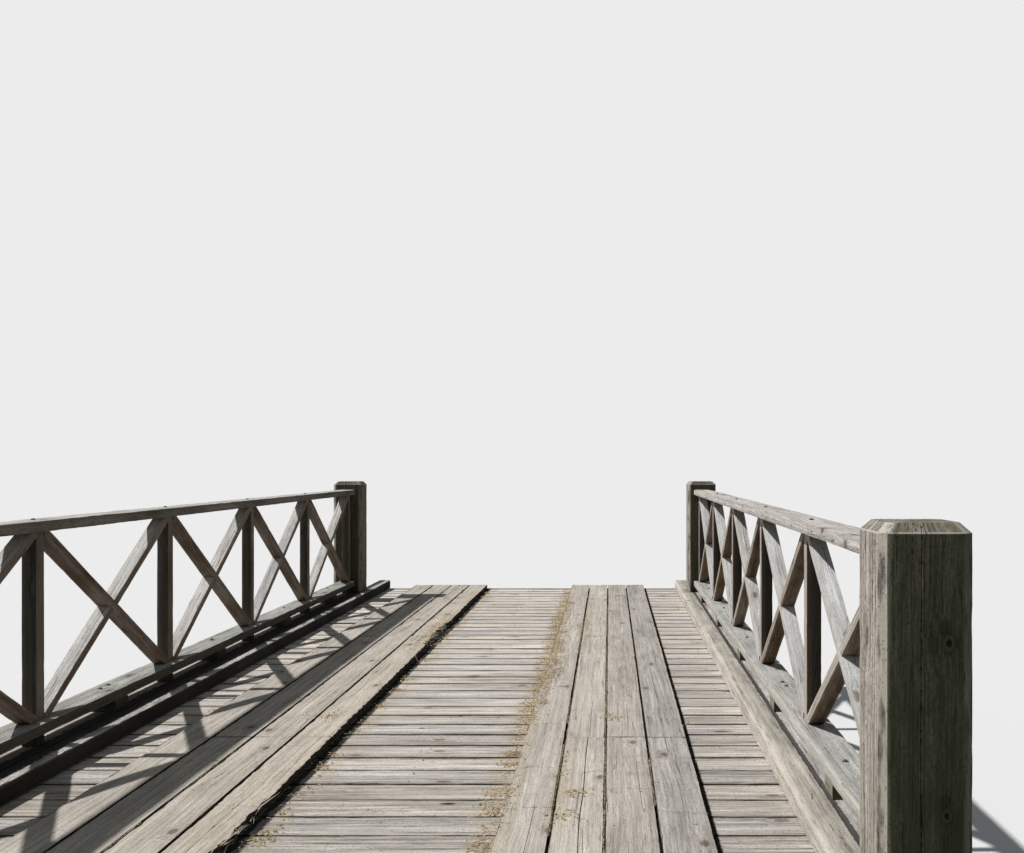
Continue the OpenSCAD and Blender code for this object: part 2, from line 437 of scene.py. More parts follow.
    def build(self, seed: int) -> dict[str, np.ndarray | list]:
        """Makes the points and faces in the timber's own directions.

        Args:
            seed: picks this timber's random heights.

        Returns:
            Points, faces, grain places and wear values.
        """
        self.relief = Relief(seed)
        self.section()
        self.stations()
        inward, scar = self.worn()
        count, lines = self.u.shape
        v, w = self.bent()
        v, w = v - inward * self.nv, w - inward * self.nw
        v, w = self.narrowed(self.ripped(v, w), w)
        grain = np.stack(np.broadcast_arrays(self.u, self.v, self.w), axis=2)
        made = {"points": [np.stack([self.u, v, w], axis=2).reshape(-1, 3)], "grain": [grain.reshape(-1, 3)],
                "scar": [scar.reshape(-1)], "edge": [np.tile(np.exp(-self.span / 0.012), count)]}
        sides = np.tile(np.where(np.abs(self.nv) + np.abs(self.nw) > 1.01, len(Side), self.side), count)
        number = np.arange(count * lines).reshape(count, lines)
        after = np.roll(number, -1, axis=1)
        faces: list = np.stack([number[:-1], number[1:], after[1:], after[:-1]], axis=2).reshape(-1, 4).tolist()
        for way, ring in ((1, number[0]), (-1, number[-1])):
            loop = ring[::way].tolist()
            if self.ends is End.FLAT:
                faces.append(loop)
            elif self.ends is End.MITRE:
                upper = [n for n in loop if self.v[n % lines] >= -1e-6]
                lower = [n for n in loop if self.v[n % lines] <= 1e-6]
                faces += [self.turned(upper, loop), self.turned(lower, loop)]
            else:
                self.close_with_rings(way, ring, made, faces)
        joined = {name: np.concatenate(parts) for name, parts in made.items()}
        added = np.full(len(joined["edge"]) - len(sides), len(Side))
        return {**joined, "faces": faces, "side": np.concatenate([sides, added])}

    @staticmethod
    def turned(part: list[int], loop: list[int]) -> list[int]:
        """Part of an end loop, started after the gap so that it keeps the loop's order.

        Args:
            part: points of that part.
            loop: points of the whole end.

        Returns:
            The part in the loop's order.
        """
        inside = set(part)
        start = next(k for k, n in enumerate(loop) if n in inside and loop[k - 1] not in inside)
        return [n for n in loop[start:] + loop[:start] if n in inside]

    def close_with_rings(self, way: int, ring: np.ndarray, made: dict[str, list], faces: list) -> None:
        """Closes an end with rings that shrink to its heart, and carries the splits over it.

        Args:
            way: 1 at the first end of the timber, and -1 at its last.
            ring: point numbers round the end.
            made: arrays of values for the points so far.
            faces: faces so far.
        """
        rim = made["points"][0][ring]
        heart = np.array([rim[:, 0].mean(), self.width * 0.03, -self.depth * 0.05])
        total = sum(len(p) for p in made["points"])
        split_depth = np.array([self.splits[k].depth if k >= 0 else 0.0 for k in self.split])
        deep = split_depth * (self.role == 0)
        after = np.roll(np.arange(len(ring)), -1)
        for k in range(1, self.rings + 1):
            share = k / (self.rings + 1)
            layer = rim * (1 - share) + heart * share
            sink = deep * np.clip(1.1 - 1.5 * share, 0, 1)
            ripple = 0.0015 * (1 + np.sin(self.round * 90 + k * 2.1)) * share
            layer[:, 0] = rim[:, 0].mean() + way * (sink + ripple)
            numbers = total + np.arange(len(ring))
            for name, values in (("points", layer), ("grain", layer.copy()),
                                 ("scar", np.clip(sink / 0.01, 0, 1)), ("edge", np.zeros(len(ring)))):
                made[name].append(values)
            faces += np.stack([ring, ring[after], numbers[after], numbers], axis=1)[:, ::way].tolist()
            ring, total = numbers, total + len(ring)
        faces.append(ring[::way].tolist())


class Wire:
    """A number in a shader, which adds Math nodes when it is used in an expression."""

    def __init__(self, net: "Net", socket: bpy.types.NodeSocket) -> None:
        """Keeps the socket and the net that it belongs to."""
        self.net, self.socket = net, socket

    def __add__(self, other: "Number") -> "Wire":
        """Sum."""
        return self.net.math("ADD", self, other)

    def __sub__(self, other: "Number") -> "Wire":
        """Difference."""
        return self.net.math("SUBTRACT", self, other)

    def __rsub__(self, other: "Number") -> "Wire":
        """Difference from a number."""
        return self.net.math("SUBTRACT", other, self)

    def __mul__(self, other: "Number") -> "Wire":
        """Product."""
        return self.net.math("MULTIPLY", self, other)

    def __truediv__(self, other: "Number") -> "Wire":
        """Quotient."""
        return self.net.math("DIVIDE", self, other)

    def __abs__(self) -> "Wire":
        """Size without its sign."""
        return self.net.math("ABSOLUTE", self)

    __radd__, __rmul__ = __add__, __mul__

    def rise(self, low: float, high: float) -> "Wire":
        """Smooth step between two values, which falls if low is above high.

        Args:
            low: value where the step is 0.
            high: value where it is 1.

        Returns:
            The step.
        """
        first, last = (0.0, 1.0) if low < high else (1.0, 0.0)
        return self.net.node("ShaderNodeMapRange", {"interpolation_type": "SMOOTHSTEP"}, {
            "Value": self, "From Min": min(low, high), "From Max": max(low, high), "To Min": first, "To Max": last})

    def within(self) -> "Wire":
        """The same number held between 0 and 1."""
        return self.net.math("ADD", self, 0.0, clamp=True)


Number = Union[float, Wire]


class Net:
    """The nodes of one material, or of the world."""

    def __init__(self, tree: bpy.types.NodeTree) -> None:
        """Empties the tree and keeps it."""
        self.tree = tree
        self.tree.nodes.clear()

    @staticmethod
    def paint(name: str) -> tuple[bpy.types.Material, "Net"]:
        """A new material and its empty net.

        Args:
            name: name of the material.

        Returns:
            The material and the net.
        """
        material = bpy.data.materials.new(name)
        material.use_nodes = True
        return material, Net(material.node_tree)

    def node(self, kind: str, settings: Mapping[str, object], inputs: Mapping[str | int, object],
             output: str | int = 0) -> Wire:
        """Adds one node.

        Args:
            kind: the node's type.
            settings: properties of the node, set before its sockets.
            inputs: a value or a wire for each socket, by name or number.
            output: socket to read from.

        Returns:
            The chosen output.
        """
        made = self.tree.nodes.new(kind)
        for name, value in settings.items():
            setattr(made, name, value)
        for name, value in inputs.items():
            if isinstance(value, Wire):
                self.tree.links.new(value.socket, made.inputs[name])
            else:
                made.inputs[name].default_value = value
        return Wire(self, made.outputs[output])

    def math(self, operation: str, *values: Number, clamp: bool = False) -> Wire:
        """A Math node on some numbers."""
        return self.node("ShaderNodeMath", {"operation": operation, "use_clamp": clamp}, dict(enumerate(values)))

    def vector(self, operation: str, first: Wire, second: Wire | Sequence[float],
               output: str = "Vector") -> Wire:
        """A Vector Math node on two vectors."""
        return self.node("ShaderNodeVectorMath", {"operation": operation}, {0: first, 1: second}, output)

    def split(self, vector: Wire) -> tuple[Wire, Wire, Wire]:
        """The three parts of a vector.

        Args:
            vector: the vector.

        Returns:
            Its parts.
        """
        first = self.node("ShaderNodeSeparateXYZ", {}, {0: vector})
        outputs = first.socket.node.outputs
        return first, Wire(self, outputs[1]), Wire(self, outputs[2])

    def attribute(self, name: str) -> Wire:
        """A vector that is kept on the mesh."""
        return self.node("ShaderNodeAttribute", {"attribute_name": name}, {}, "Vector")

    def noise(self, place: Wire, stretch: Sequence[float], detail: float = 2.0, roughness: float = 0.55) -> Wire:
        """Noise on a stretched place, from 0 to 1.

        Args:
            place: place on the timber, in metres.
            stretch: steps per metre along, across and through the grain.
            detail: finer layers.
            roughness: strength of the finer layers.

        Returns:
            The noise.
        """
        return self.node("ShaderNodeTexNoise", {"noise_dimensions": "3D"}, {
            "Vector": self.vector("MULTIPLY", place, tuple(stretch)), "Scale": 1.0,
            "Detail": detail, "Roughness": roughness}, "Fac")

    def blend(self, share: Number, first: Wire | Colour, second: Wire | Colour, how: str = "MIX") -> Wire:
        """A mix of two colours.

        Args:
            share: how much of the second one is used.
            first: colour at a share of 0.
            second: colour at a share of 1.
            how: kind of mix.

        Returns:
            The mixed colour.
        """
        made = self.tree.nodes.new("ShaderNodeMix")
        made.data_type, made.blend_type, made.clamp_factor = "RGBA", how, True
        for socket, value in ((made.inputs[0], share), (made.inputs[6], first), (made.inputs[7], second)):
            if isinstance(value, Wire):
                self.tree.links.new(value.socket, socket)
            else:
                socket.default_value = value if isinstance(value, (int, float)) else (*value, 1.0)
        return Wire(self, made.outputs[2])

    def surface(self, colour: Wire, roughness: Number, height: Wire, depth: float,
                constants: Mapping[str, float]) -> None:
        """Ends the material in one shader.

        Args:
            colour: base colour.
            roughness: roughness.
            height: relief for the bump.
            depth: depth of the bump in metres.
            constants: other values of the shader.
        """
        bump = self.node("ShaderNodeBump", {}, {"Strength": 1.0, "Distance": depth, "Height": height})
        shader = self.node("ShaderNodeBsdfPrincipled", {}, {
            "Base Color": colour, "Roughness": roughness, "Normal": bump, **constants})
        self.finish(shader)

    def finish(self, shader: Wire, kind: str = "ShaderNodeOutputMaterial") -> None:
        """Links a shader to the output.

        Args:
            shader: the shader.
            kind: type of the output node.
        """
        output = self.tree.nodes.new(kind)
        self.tree.links.new(shader.socket, output.inputs["Surface"])


class Wood:
    """Shader values of one material of weathered timber, and the layers that are painted with them.

    Attributes:
        net: net that they belong to.
        look: finish that they are made for.
        tone, hue, heart_place: what sets this timber apart from the others.
        scar, edge, dirt_and_shade: what the mesh tells of splits, of edges, and of sides darkened by soiling and
            painted shade.
        place: place in the timber, shifted by another distance for every timber.
        along, across, through: its parts.
        drift: slow waves of the grain.
        position: place on the bridge.
        normal, rightward, up: direction that the face looks in.
        knot, core: closeness to a knot, and the knot itself.
        late: dark part of a growth ring.
        fibre, streak, band: fine, middling and broad stripes along the grain.
        stain: broad stains.
        check: fine checks.
        bleach_and_shade: how far the face is silvered, partly sun bleaching and partly painted shade by how it
            faces the key light.
        colour: colour so far.
    """

    def __init__(self, net: Net, look: "Weathered") -> None:
        """Makes the nodes of the shared values.

        Args:
            net: empty net of the material.
            look: finish that it is made for.
        """
        self.net, self.look = net, look
        grain, lot, wear = net.attribute("grain"), net.attribute("lot"), net.attribute("wear")
        self.tone, self.hue, self.heart_place = net.split(lot)
        self.scar, self.edge, self.dirt_and_shade = net.split(wear)
        self.place = net.vector("ADD", grain, net.vector("MULTIPLY", lot, (31.0, 17.0, 23.0)))
        self.normal = net.node("ShaderNodeNewGeometry", {}, {}, "Normal")
        self.position = net.node("ShaderNodeNewGeometry", {}, {}, "Position")
        self.rightward, _, self.up = net.split(self.normal)
        self.drift = net.noise(self.place, (1.3, 5.0, 5.0), 2) - 0.5
        self.along, self.across, self.through = net.split(self.place)
        self.knot, self.core = self.knots()
        self.late = self.rings(grain)
        bend = self.drift * 0.045 + self.knot * 0.012
        flow = net.node("ShaderNodeCombineXYZ", {}, {0: self.along, 1: self.across + bend, 2: self.through + bend})
        self.fibre = net.noise(flow, (8.0, 460.0, 460.0), 2, 0.65)
        self.streak = net.noise(flow, (1.3, 190.0, 190.0), 3, 0.6)
        self.band = net.noise(flow, (0.7, look.stripe, look.stripe), 3, 0.6)
        self.stain = net.noise(self.place, (1.8, 6.0, 6.0), 3, 0.6)
        crease = net.noise(flow, (1.3, 64.0, 64.0), 1)
        gate = net.noise(self.place, (1.5, 24.0, 24.0), 1)
        amount = 0.14 * look.checks
        self.check = abs(crease - 0.5).rise(0.016, 0.003) * gate.rise(0.66 - amount, 0.72 - amount)
        # Faces turned to the key light take the silver colour and the rest the heart colour: sun bleaching, and
        # painted shade on the faces away from the light.
        sunny = self.up * 0.8 - self.rightward * 0.75
        self.bleach_and_shade = (sunny.rise(-0.15, 0.6) * 0.85 + (self.stain - 0.5) * 0.7 + 0.12).within()
        self.colour = net.blend(self.bleach_and_shade, look.heart, look.silver)

    def knots(self) -> tuple[Wire, Wire]:
        """Knots that lie here and there in the timber.

        Returns:
            Closeness to a knot, and the knot itself.
        """
        net, share = self.net, self.look.knots
        spread = {0: self.along * 2.6, 1: (self.across + self.through) * 5.0}
        apart = net.node("ShaderNodeTexVoronoi", {"feature": "F1", "voronoi_dimensions": "2D"}, {
            "Vector": net.node("ShaderNodeCombineXYZ", {}, spread), "Scale": 1.0, "Randomness": 1.0}, "Distance")
        chance = net.split(Wire(net, apart.socket.node.outputs["Color"]))[0]
        picked = chance.rise(1.0 - share, 1.001 - share)
        return apart.rise(0.34, 0.04) * picked, apart.rise(0.10, 0.06) * picked

    def rings(self, grain: Wire) -> Wire:
        """Dark part of the growth rings round this timber's heart.

        Args:
            grain: place in the timber.

        Returns:
            The dark part, from 0 to 1.
        """
        net = self.net
        _, across, through = net.split(grain)
        side = across + (self.hue - 0.5) * 0.16
        under = through + 0.03 + self.heart_place * 0.16
        radius = net.math("SQRT", side * side + under * under) + self.drift * 0.03 + self.knot * 0.02
        turn = net.math("FRACT", radius / self.look.ring)
        return turn.rise(0.45, 0.9) * turn.rise(1.0, 0.93)

    def end_grain(self) -> Wire:
        """Where the face cuts the grain."""
        net = self.net
        return abs(net.vector("DOT_PRODUCT", self.normal, net.attribute("run"), "Value")).rise(0.6, 0.8)

    def cover(self, share: Number, colour: Wire | Colour, how: str = "MIX") -> None:
        """Lays a colour over what is there."""
        self.colour = self.net.blend(share, self.colour, colour, how)

    def timber(self) -> None:
        """Stripes, rings, streaks and knots of the wood itself."""
        net, look, hue = self.net, self.look, self.hue - 0.5
        mottling = net.noise(self.place, (48.0, 150.0, 150.0), 2, 0.7)
        shade = 1.0 + (self.tone - 0.5) * (2 * look.spread) + (self.stain - 0.5) * (1.6 * look.blotch)
        # Broad stripes are weaker on the faces in painted shade.
        shade = shade + (self.band - 0.5) * (self.bleach_and_shade * 0.6 + 0.4) * look.stripes
        shade = shade + (self.fibre - 0.5) * look.fibre + (self.streak - 0.5) * look.fibre
        shade = shade + (mottling - 0.5) * look.mottle
        # Painted highlight: upright faces turned to the key light are made paler.
        if look.clean:
            shade = shade + self.rightward.rise(-0.5, -0.9) * look.clean
        self.cover(1.0, net.node("ShaderNodeCombineXYZ", {}, {
            0: shade + hue * (0.05 * look.warmth), 1: shade, 2: shade - hue * (0.07 * look.warmth)}), "MULTIPLY")
        self.cover(self.late * look.rings * (1 - self.core), look.line)
        self.cover(self.streak.rise(0.42, 0.34) * self.band.rise(0.60, 0.42) * look.streaks, look.line)
        self.cover(self.knot * 0.22 + self.core * 0.5, KNOT)
        self.cover(self.end_grain() * 0.35, look.line)

    def lichen(self) -> None:
        """Pale grey-green crusts on the faces that rain reaches."""
        net, much = self.net, self.look.lichen
        spot = net.node("ShaderNodeTexVoronoi", {"feature": "F1", "voronoi_dimensions": "3D"}, {
            "Vector": net.vector("MULTIPLY", self.place, (26.0, 34.0, 34.0)), "Scale": 1.0}, "Distance")
        patch = net.noise(self.place, (3.0, 9.0, 9.0), 3, 0.7)
        self.cover(patch.rise(0.75 - 0.4 * much, 0.9 - 0.2 * much) * 0.3 * much, LICHEN_FILM)
        crust = spot.rise(0.5, 0.25) * patch.rise(0.72 - 0.3 * much, 0.80 - 0.25 * much)
        self.cover(crust * self.up.rise(-0.3, 0.4) * 0.55, LICHEN_CRUST)

    def algae_and_shade(self) -> None:
        """Dark green film, partly growth that is stronger near the ground and partly painted shade on faces turned
        to the near end.
        """
        facing, height = self.net.split(self.normal)[1], self.net.split(self.position)[2]
        film = self.net.noise(self.place, (4.0, 18.0, 18.0), 4, 0.7)
        # The facing term is painted shade on the near faces; the height term is damp growth low down.
        damp = height.rise(2.6, 0.2) * 0.55 + facing.rise(-0.2, -0.9) * 0.75
        self.cover(((damp + film * 0.9 - 0.55) * self.look.algae_and_shade).within() * 0.85, ALGAE_AND_SHADE)

    def moss(self) -> None:
        """Tufts of moss on the faces that look up."""
        tuft = self.net.noise(self.position, (55.0, 55.0, 55.0), 3, 0.7)
        patch = self.net.noise(self.position, (9.0, 9.0, 9.0), 2)
        growth = (tuft * 0.5 + patch * 0.7 + self.up * 0.25).rise(
            0.98 - 0.25 * self.look.moss, 1.10 - 0.2 * self.look.moss)
        self.cover(growth * self.up.rise(0.3, 0.7) * 0.8, MOSS)

    def wear(self) -> None:
        """Soiling and painted shade along the edges, pale edges that are worn and painted as highlights, fine
        checks and pits.
        """
        net, look = self.net, self.look
        # Soiling and painted shade along the edges, which widens the dark joints between planks.
        self.cover(self.edge * look.edge_grime_and_shade * self.stain.rise(0.3, 0.7), look.line)
        if look.arris:
            worn = self.edge.rise(0.35, 0.95) * net.noise(self.place, (7.0, 30.0, 30.0), 2).rise(0.32, 0.55)
            if look.shoulder:
                height = net.split(self.position)[2] + (self.fibre - 0.5) * 0.006
                worn = net.math("MAXIMUM", worn, abs(height - look.shoulder).rise(0.0045, 0.0015))
            # Pale edges: wear, and a painted highlight strongest on the faces turned to the key light.
            self.cover(worn * (self.bleach_and_shade * 0.85 + 0.15) * look.arris, WORN_EDGE_AND_HIGHLIGHT)
        self.cover(self.check * 0.7, CHECK_DARK)
        if look.pits:
            pit = net.noise(self.place, (90.0, 170.0, 170.0), 2, 0.6).rise(0.42, 0.33)
            self.cover(pit * self.stain.rise(0.35, 0.6) * look.pits, PIT)

    def dust(self, x: float, start: float, end: float, reach: float) -> None:
        """Straw dust in one band along the bridge, as small crumbs and their shadows.

        Args:
            x: middle of the band.
            start: its near end.
            end: its far end.
            reach: half of its width.
        """
        net = self.net
        across, along, _ = net.split(self.position)
        off = abs(across - x)
        crumbs = net.noise(self.position, (230.0, 230.0, 60.0), 2, 0.7).rise(0.47, 0.60)
        shadow = net.noise(self.position, (110.0, 110.0, 60.0), 2, 0.7).rise(0.46, 0.38)
        heaps = net.noise(self.position, (6.0, 4.0, 6.0), 3, 0.65) + off.rise(reach, 0.0) * 0.35
        share = heaps.rise(0.60, 0.82) * off.rise(reach, reach * 0.5)
        share = share * along.rise(start - 0.2, start) * along.rise(end + 0.2, end)
        self.cover(share * crumbs * 0.7, DUST)
        self.cover(share * shadow * 0.4, DUST_SHADOW)

    def soil_and_shadow(self, x: float, reach: float, strength: float) -> None:
        """A dark band along the bridge with a ragged rim: painted shadow beside the track edges and under the
        rails, and soiling.

        Args:
            x: middle of the band.
            reach: half of its width.
            strength: how much it covers.
        """
        ragged = (self.net.noise(self.position, (30.0, 30.0, 30.0), 3, 0.7) - 0.5) * min(reach, RAGGED_RIM)
        off = abs(self.net.split(self.position)[0] - x) + ragged
        # Painted shadow and soiling in the band.
        self.cover(off.rise(reach, reach * 0.6) * strength, SOIL_AND_SHADOW)

    def mark(self, x: float, y: float, z: float, size: float, strength: float) -> None:
        """One mark that the eye finds first, such as a knot or a stain.

        Args:
            x, y, z: its place.
            size: its radius.
            strength: how much it covers, below 0 for a pale one.
        """
        net = self.net
        apart = net.vector("MULTIPLY", net.vector("SUBTRACT", self.position, (x, y, z)), self.look.mark_shape)
        off = net.vector("LENGTH", apart, (0.0, 0.0, 0.0), "Value") + (self.fibre - 0.5) * (size * 0.9)
        self.cover(off.rise(size, size * 0.5) * abs(strength), MARK if strength > 0 else PALE_MARK)

    def surface(self) -> None:
        """Paints shade and soiling into the splits and onto the sides that the mesh marks, and ends the material.
        """
        # Painted shade and soiling inside the splits and breaks.
        self.cover(self.scar.rise(0.15, 0.8) * 0.93, CRACK_SHADE_AND_DIRT)
        # Painted shade and soiling on the marked sides: the joint faces and the faces turned away from the key
        # light.
        self.cover(self.dirt_and_shade * (1.0 + (self.stain - 0.5) * (1.0 - self.dirt_and_shade) * 2.4) * 0.92, DIRT_AND_SHADE)
        relief = (self.fibre * 0.3 + self.streak * 0.5 - self.late * 0.12 - self.check * 0.9
                  + self.core * 0.25 + self.stain * 0.5)
        self.net.surface(self.colour, (0.8 + self.fibre * 0.2).within(), relief, self.look.gouge,
                         {"Specular IOR Level": 0.2})


@dataclass(frozen=True)
class Weathered:
    """Finish of old timber: silvered faces over brown wood, open grain, knots, checks and growth.

    Attributes:
        name: name of the material.
        silver: colour of the faces that the sun has bleached.
        heart: colour of the wood where it is less bleached, which also stands as painted shade on faces turned from
            the key light.
        line: colour of the dark grain lines.
        ring: spacing of the growth rings.
        rings: strength of the growth rings.
        spread: difference in tone between timbers.
        warmth: difference in hue between timbers.
        clean: painted highlight that makes the upright faces turned to the key light paler.
        blotch: strength of the stains.
        fibre: strength of the fine fibres.
        mottle: strength of the fine mottling.
        stripes: strength of the broad stripes along the grain.
        stripe: number of those stripes in a metre.
        streaks: strength of the dark streaks.
        checks: amount of fine checks.
        knots: share of the places that hold a knot.
        lichen: amount of pale lichen.
        algae_and_shade: amount of dark green film on sides that face away from the key light and low down, partly
            growth and partly painted shade.
        moss: amount of moss on the upper faces.
        edge_grime_and_shade: darkness along the edges, partly soiling and partly painted shade beside the joints.
        arris: paleness of the edges, partly wear and partly a painted highlight on edges turned to the key light.
        shoulder: height of a pale edge that runs round the timber, worn and painted as a highlight.
        pits: amount of small dark pits.
        gouge: depth of the open grain.
        marks: places that the eye finds first, each as x, y, z, size and strength, which is below 0 for
            a pale one.
        mark_shape: how much each direction counts in the size of a mark.
        dust: bands where straw dust lies, each as x, start, end and reach.
        soil_and_shadow: dark bands of painted shadow and soiling, each as x, reach and strength.
    """

    name: str
    silver: Colour
    heart: Colour
    line: Colour = srgb(78, 68, 58)
    ring: float = 0.007
    rings: float = 0.12
    spread: float = 0.10
    warmth: float = 1.0
    clean: float = 0.0
    blotch: float = 0.25
    fibre: float = 0.6
    mottle: float = 0.7
    stripes: float = 0.5
    stripe: float = 40.0
    streaks: float = 0.4
    checks: float = 0.6
    knots: float = 0.3
    lichen: float = 0.0
    algae_and_shade: float = 0.0
    moss: float = 0.0
    edge_grime_and_shade: float = 0.4
    arris: float = 0.0
    shoulder: float = 0.0
    pits: float = 0.0
    gouge: float = 0.0014
    marks: tuple[tuple[float, float, float, float, float], ...] = ()
    mark_shape: Colour = (0.5, 1.0, 0.0)
    dust: tuple[tuple[float, float, float, float], ...] = ()
    soil_and_shadow: tuple[tuple[float, float, float], ...] = ()

    def material(self) -> bpy.types.Material:
        """Builds the nodes of this finish.

        Returns:
            The material.
        """
        material, net = Net.paint(self.name)
        wood = Wood(net, self)
        wood.timber()
        for amount, layer in ((self.lichen, wood.lichen), (self.algae_and_shade, wood.algae_and_shade), (self.moss, wood.moss)):
            if amount:
                layer()
        wood.wear()
        for bands, layer in ((self.dust, wood.dust), (self.soil_and_shadow, wood.soil_and_shadow), (self.marks, wood.mark)):
            for band in bands:
                layer(*band)
        wood.surface()
        return material


@dataclass(frozen=True)
class Rusted:
    """Finish of old iron fixings.

    Attributes:
        name: name of the material.
        iron: colour of the bare metal.
        rust: colour of the rust.
        cover: share that has rusted.
    """

    name: str
    iron: Colour
    rust: Colour
    cover: float

    def material(self) -> bpy.types.Material:
        """Builds the nodes of this finish.

        Returns:
            The material.
        """
        material, net = Net.paint(self.name)
        position = net.node("ShaderNodeNewGeometry", {}, {}, "Position")
        grit = net.noise(position, (420.0, 420.0, 420.0), 3, 0.7)
        patch = net.noise(position, (90.0, 90.0, 90.0), 2)
        rust = (grit * 0.5 + patch * 0.6).rise(0.75 - 0.4 * self.cover, 0.85 - 0.3 * self.cover)
        colour = net.blend(rust, self.iron, self.rust)
        colour = net.blend(grit.rise(0.5, 0.25) * 0.4, colour, RUST_PIT)
        net.surface(colour, rust * 0.35 + 0.5, grit + patch * 0.5, 0.0006, {"Metallic": 0.35})
        return material


@dataclass(frozen=True)
class Chaff:
    """Finish of the dry straw and dust that has blown against the boards.

    Attributes:
        name: name of the material.
        pale: colour of the bleached stalks.
        brown: colour of the rotten ones.
        speckle: contrast of the crumbs in one heap.
        crumb: number of crumbs in a metre.
    """

    name: str
    pale: Colour
    brown: Colour
    speckle: float = 0.15
    crumb: float = 260.0

    def material(self) -> bpy.types.Material:
        """Builds the nodes of this finish.

        Returns:
            The material.
        """
        material, net = Net.paint(self.name)
        tone, hue, _ = net.split(net.attribute("lot"))
        position = net.node("ShaderNodeNewGeometry", {}, {}, "Position")
        speck = net.noise(position, (self.crumb,) * 3, 3, 0.7)
        share = tone * (1 - self.speckle) + speck.rise(0.42, 0.60) * self.speckle
        colour = net.blend(share, self.brown, self.pale)
        colour = net.blend(hue.rise(0.75, 1.0) * 0.5, colour, GREEN_STALK)
        net.surface(colour, 0.9 - speck * 0.1, speck, 0.001, {"Specular IOR Level": 0.2})
        return material


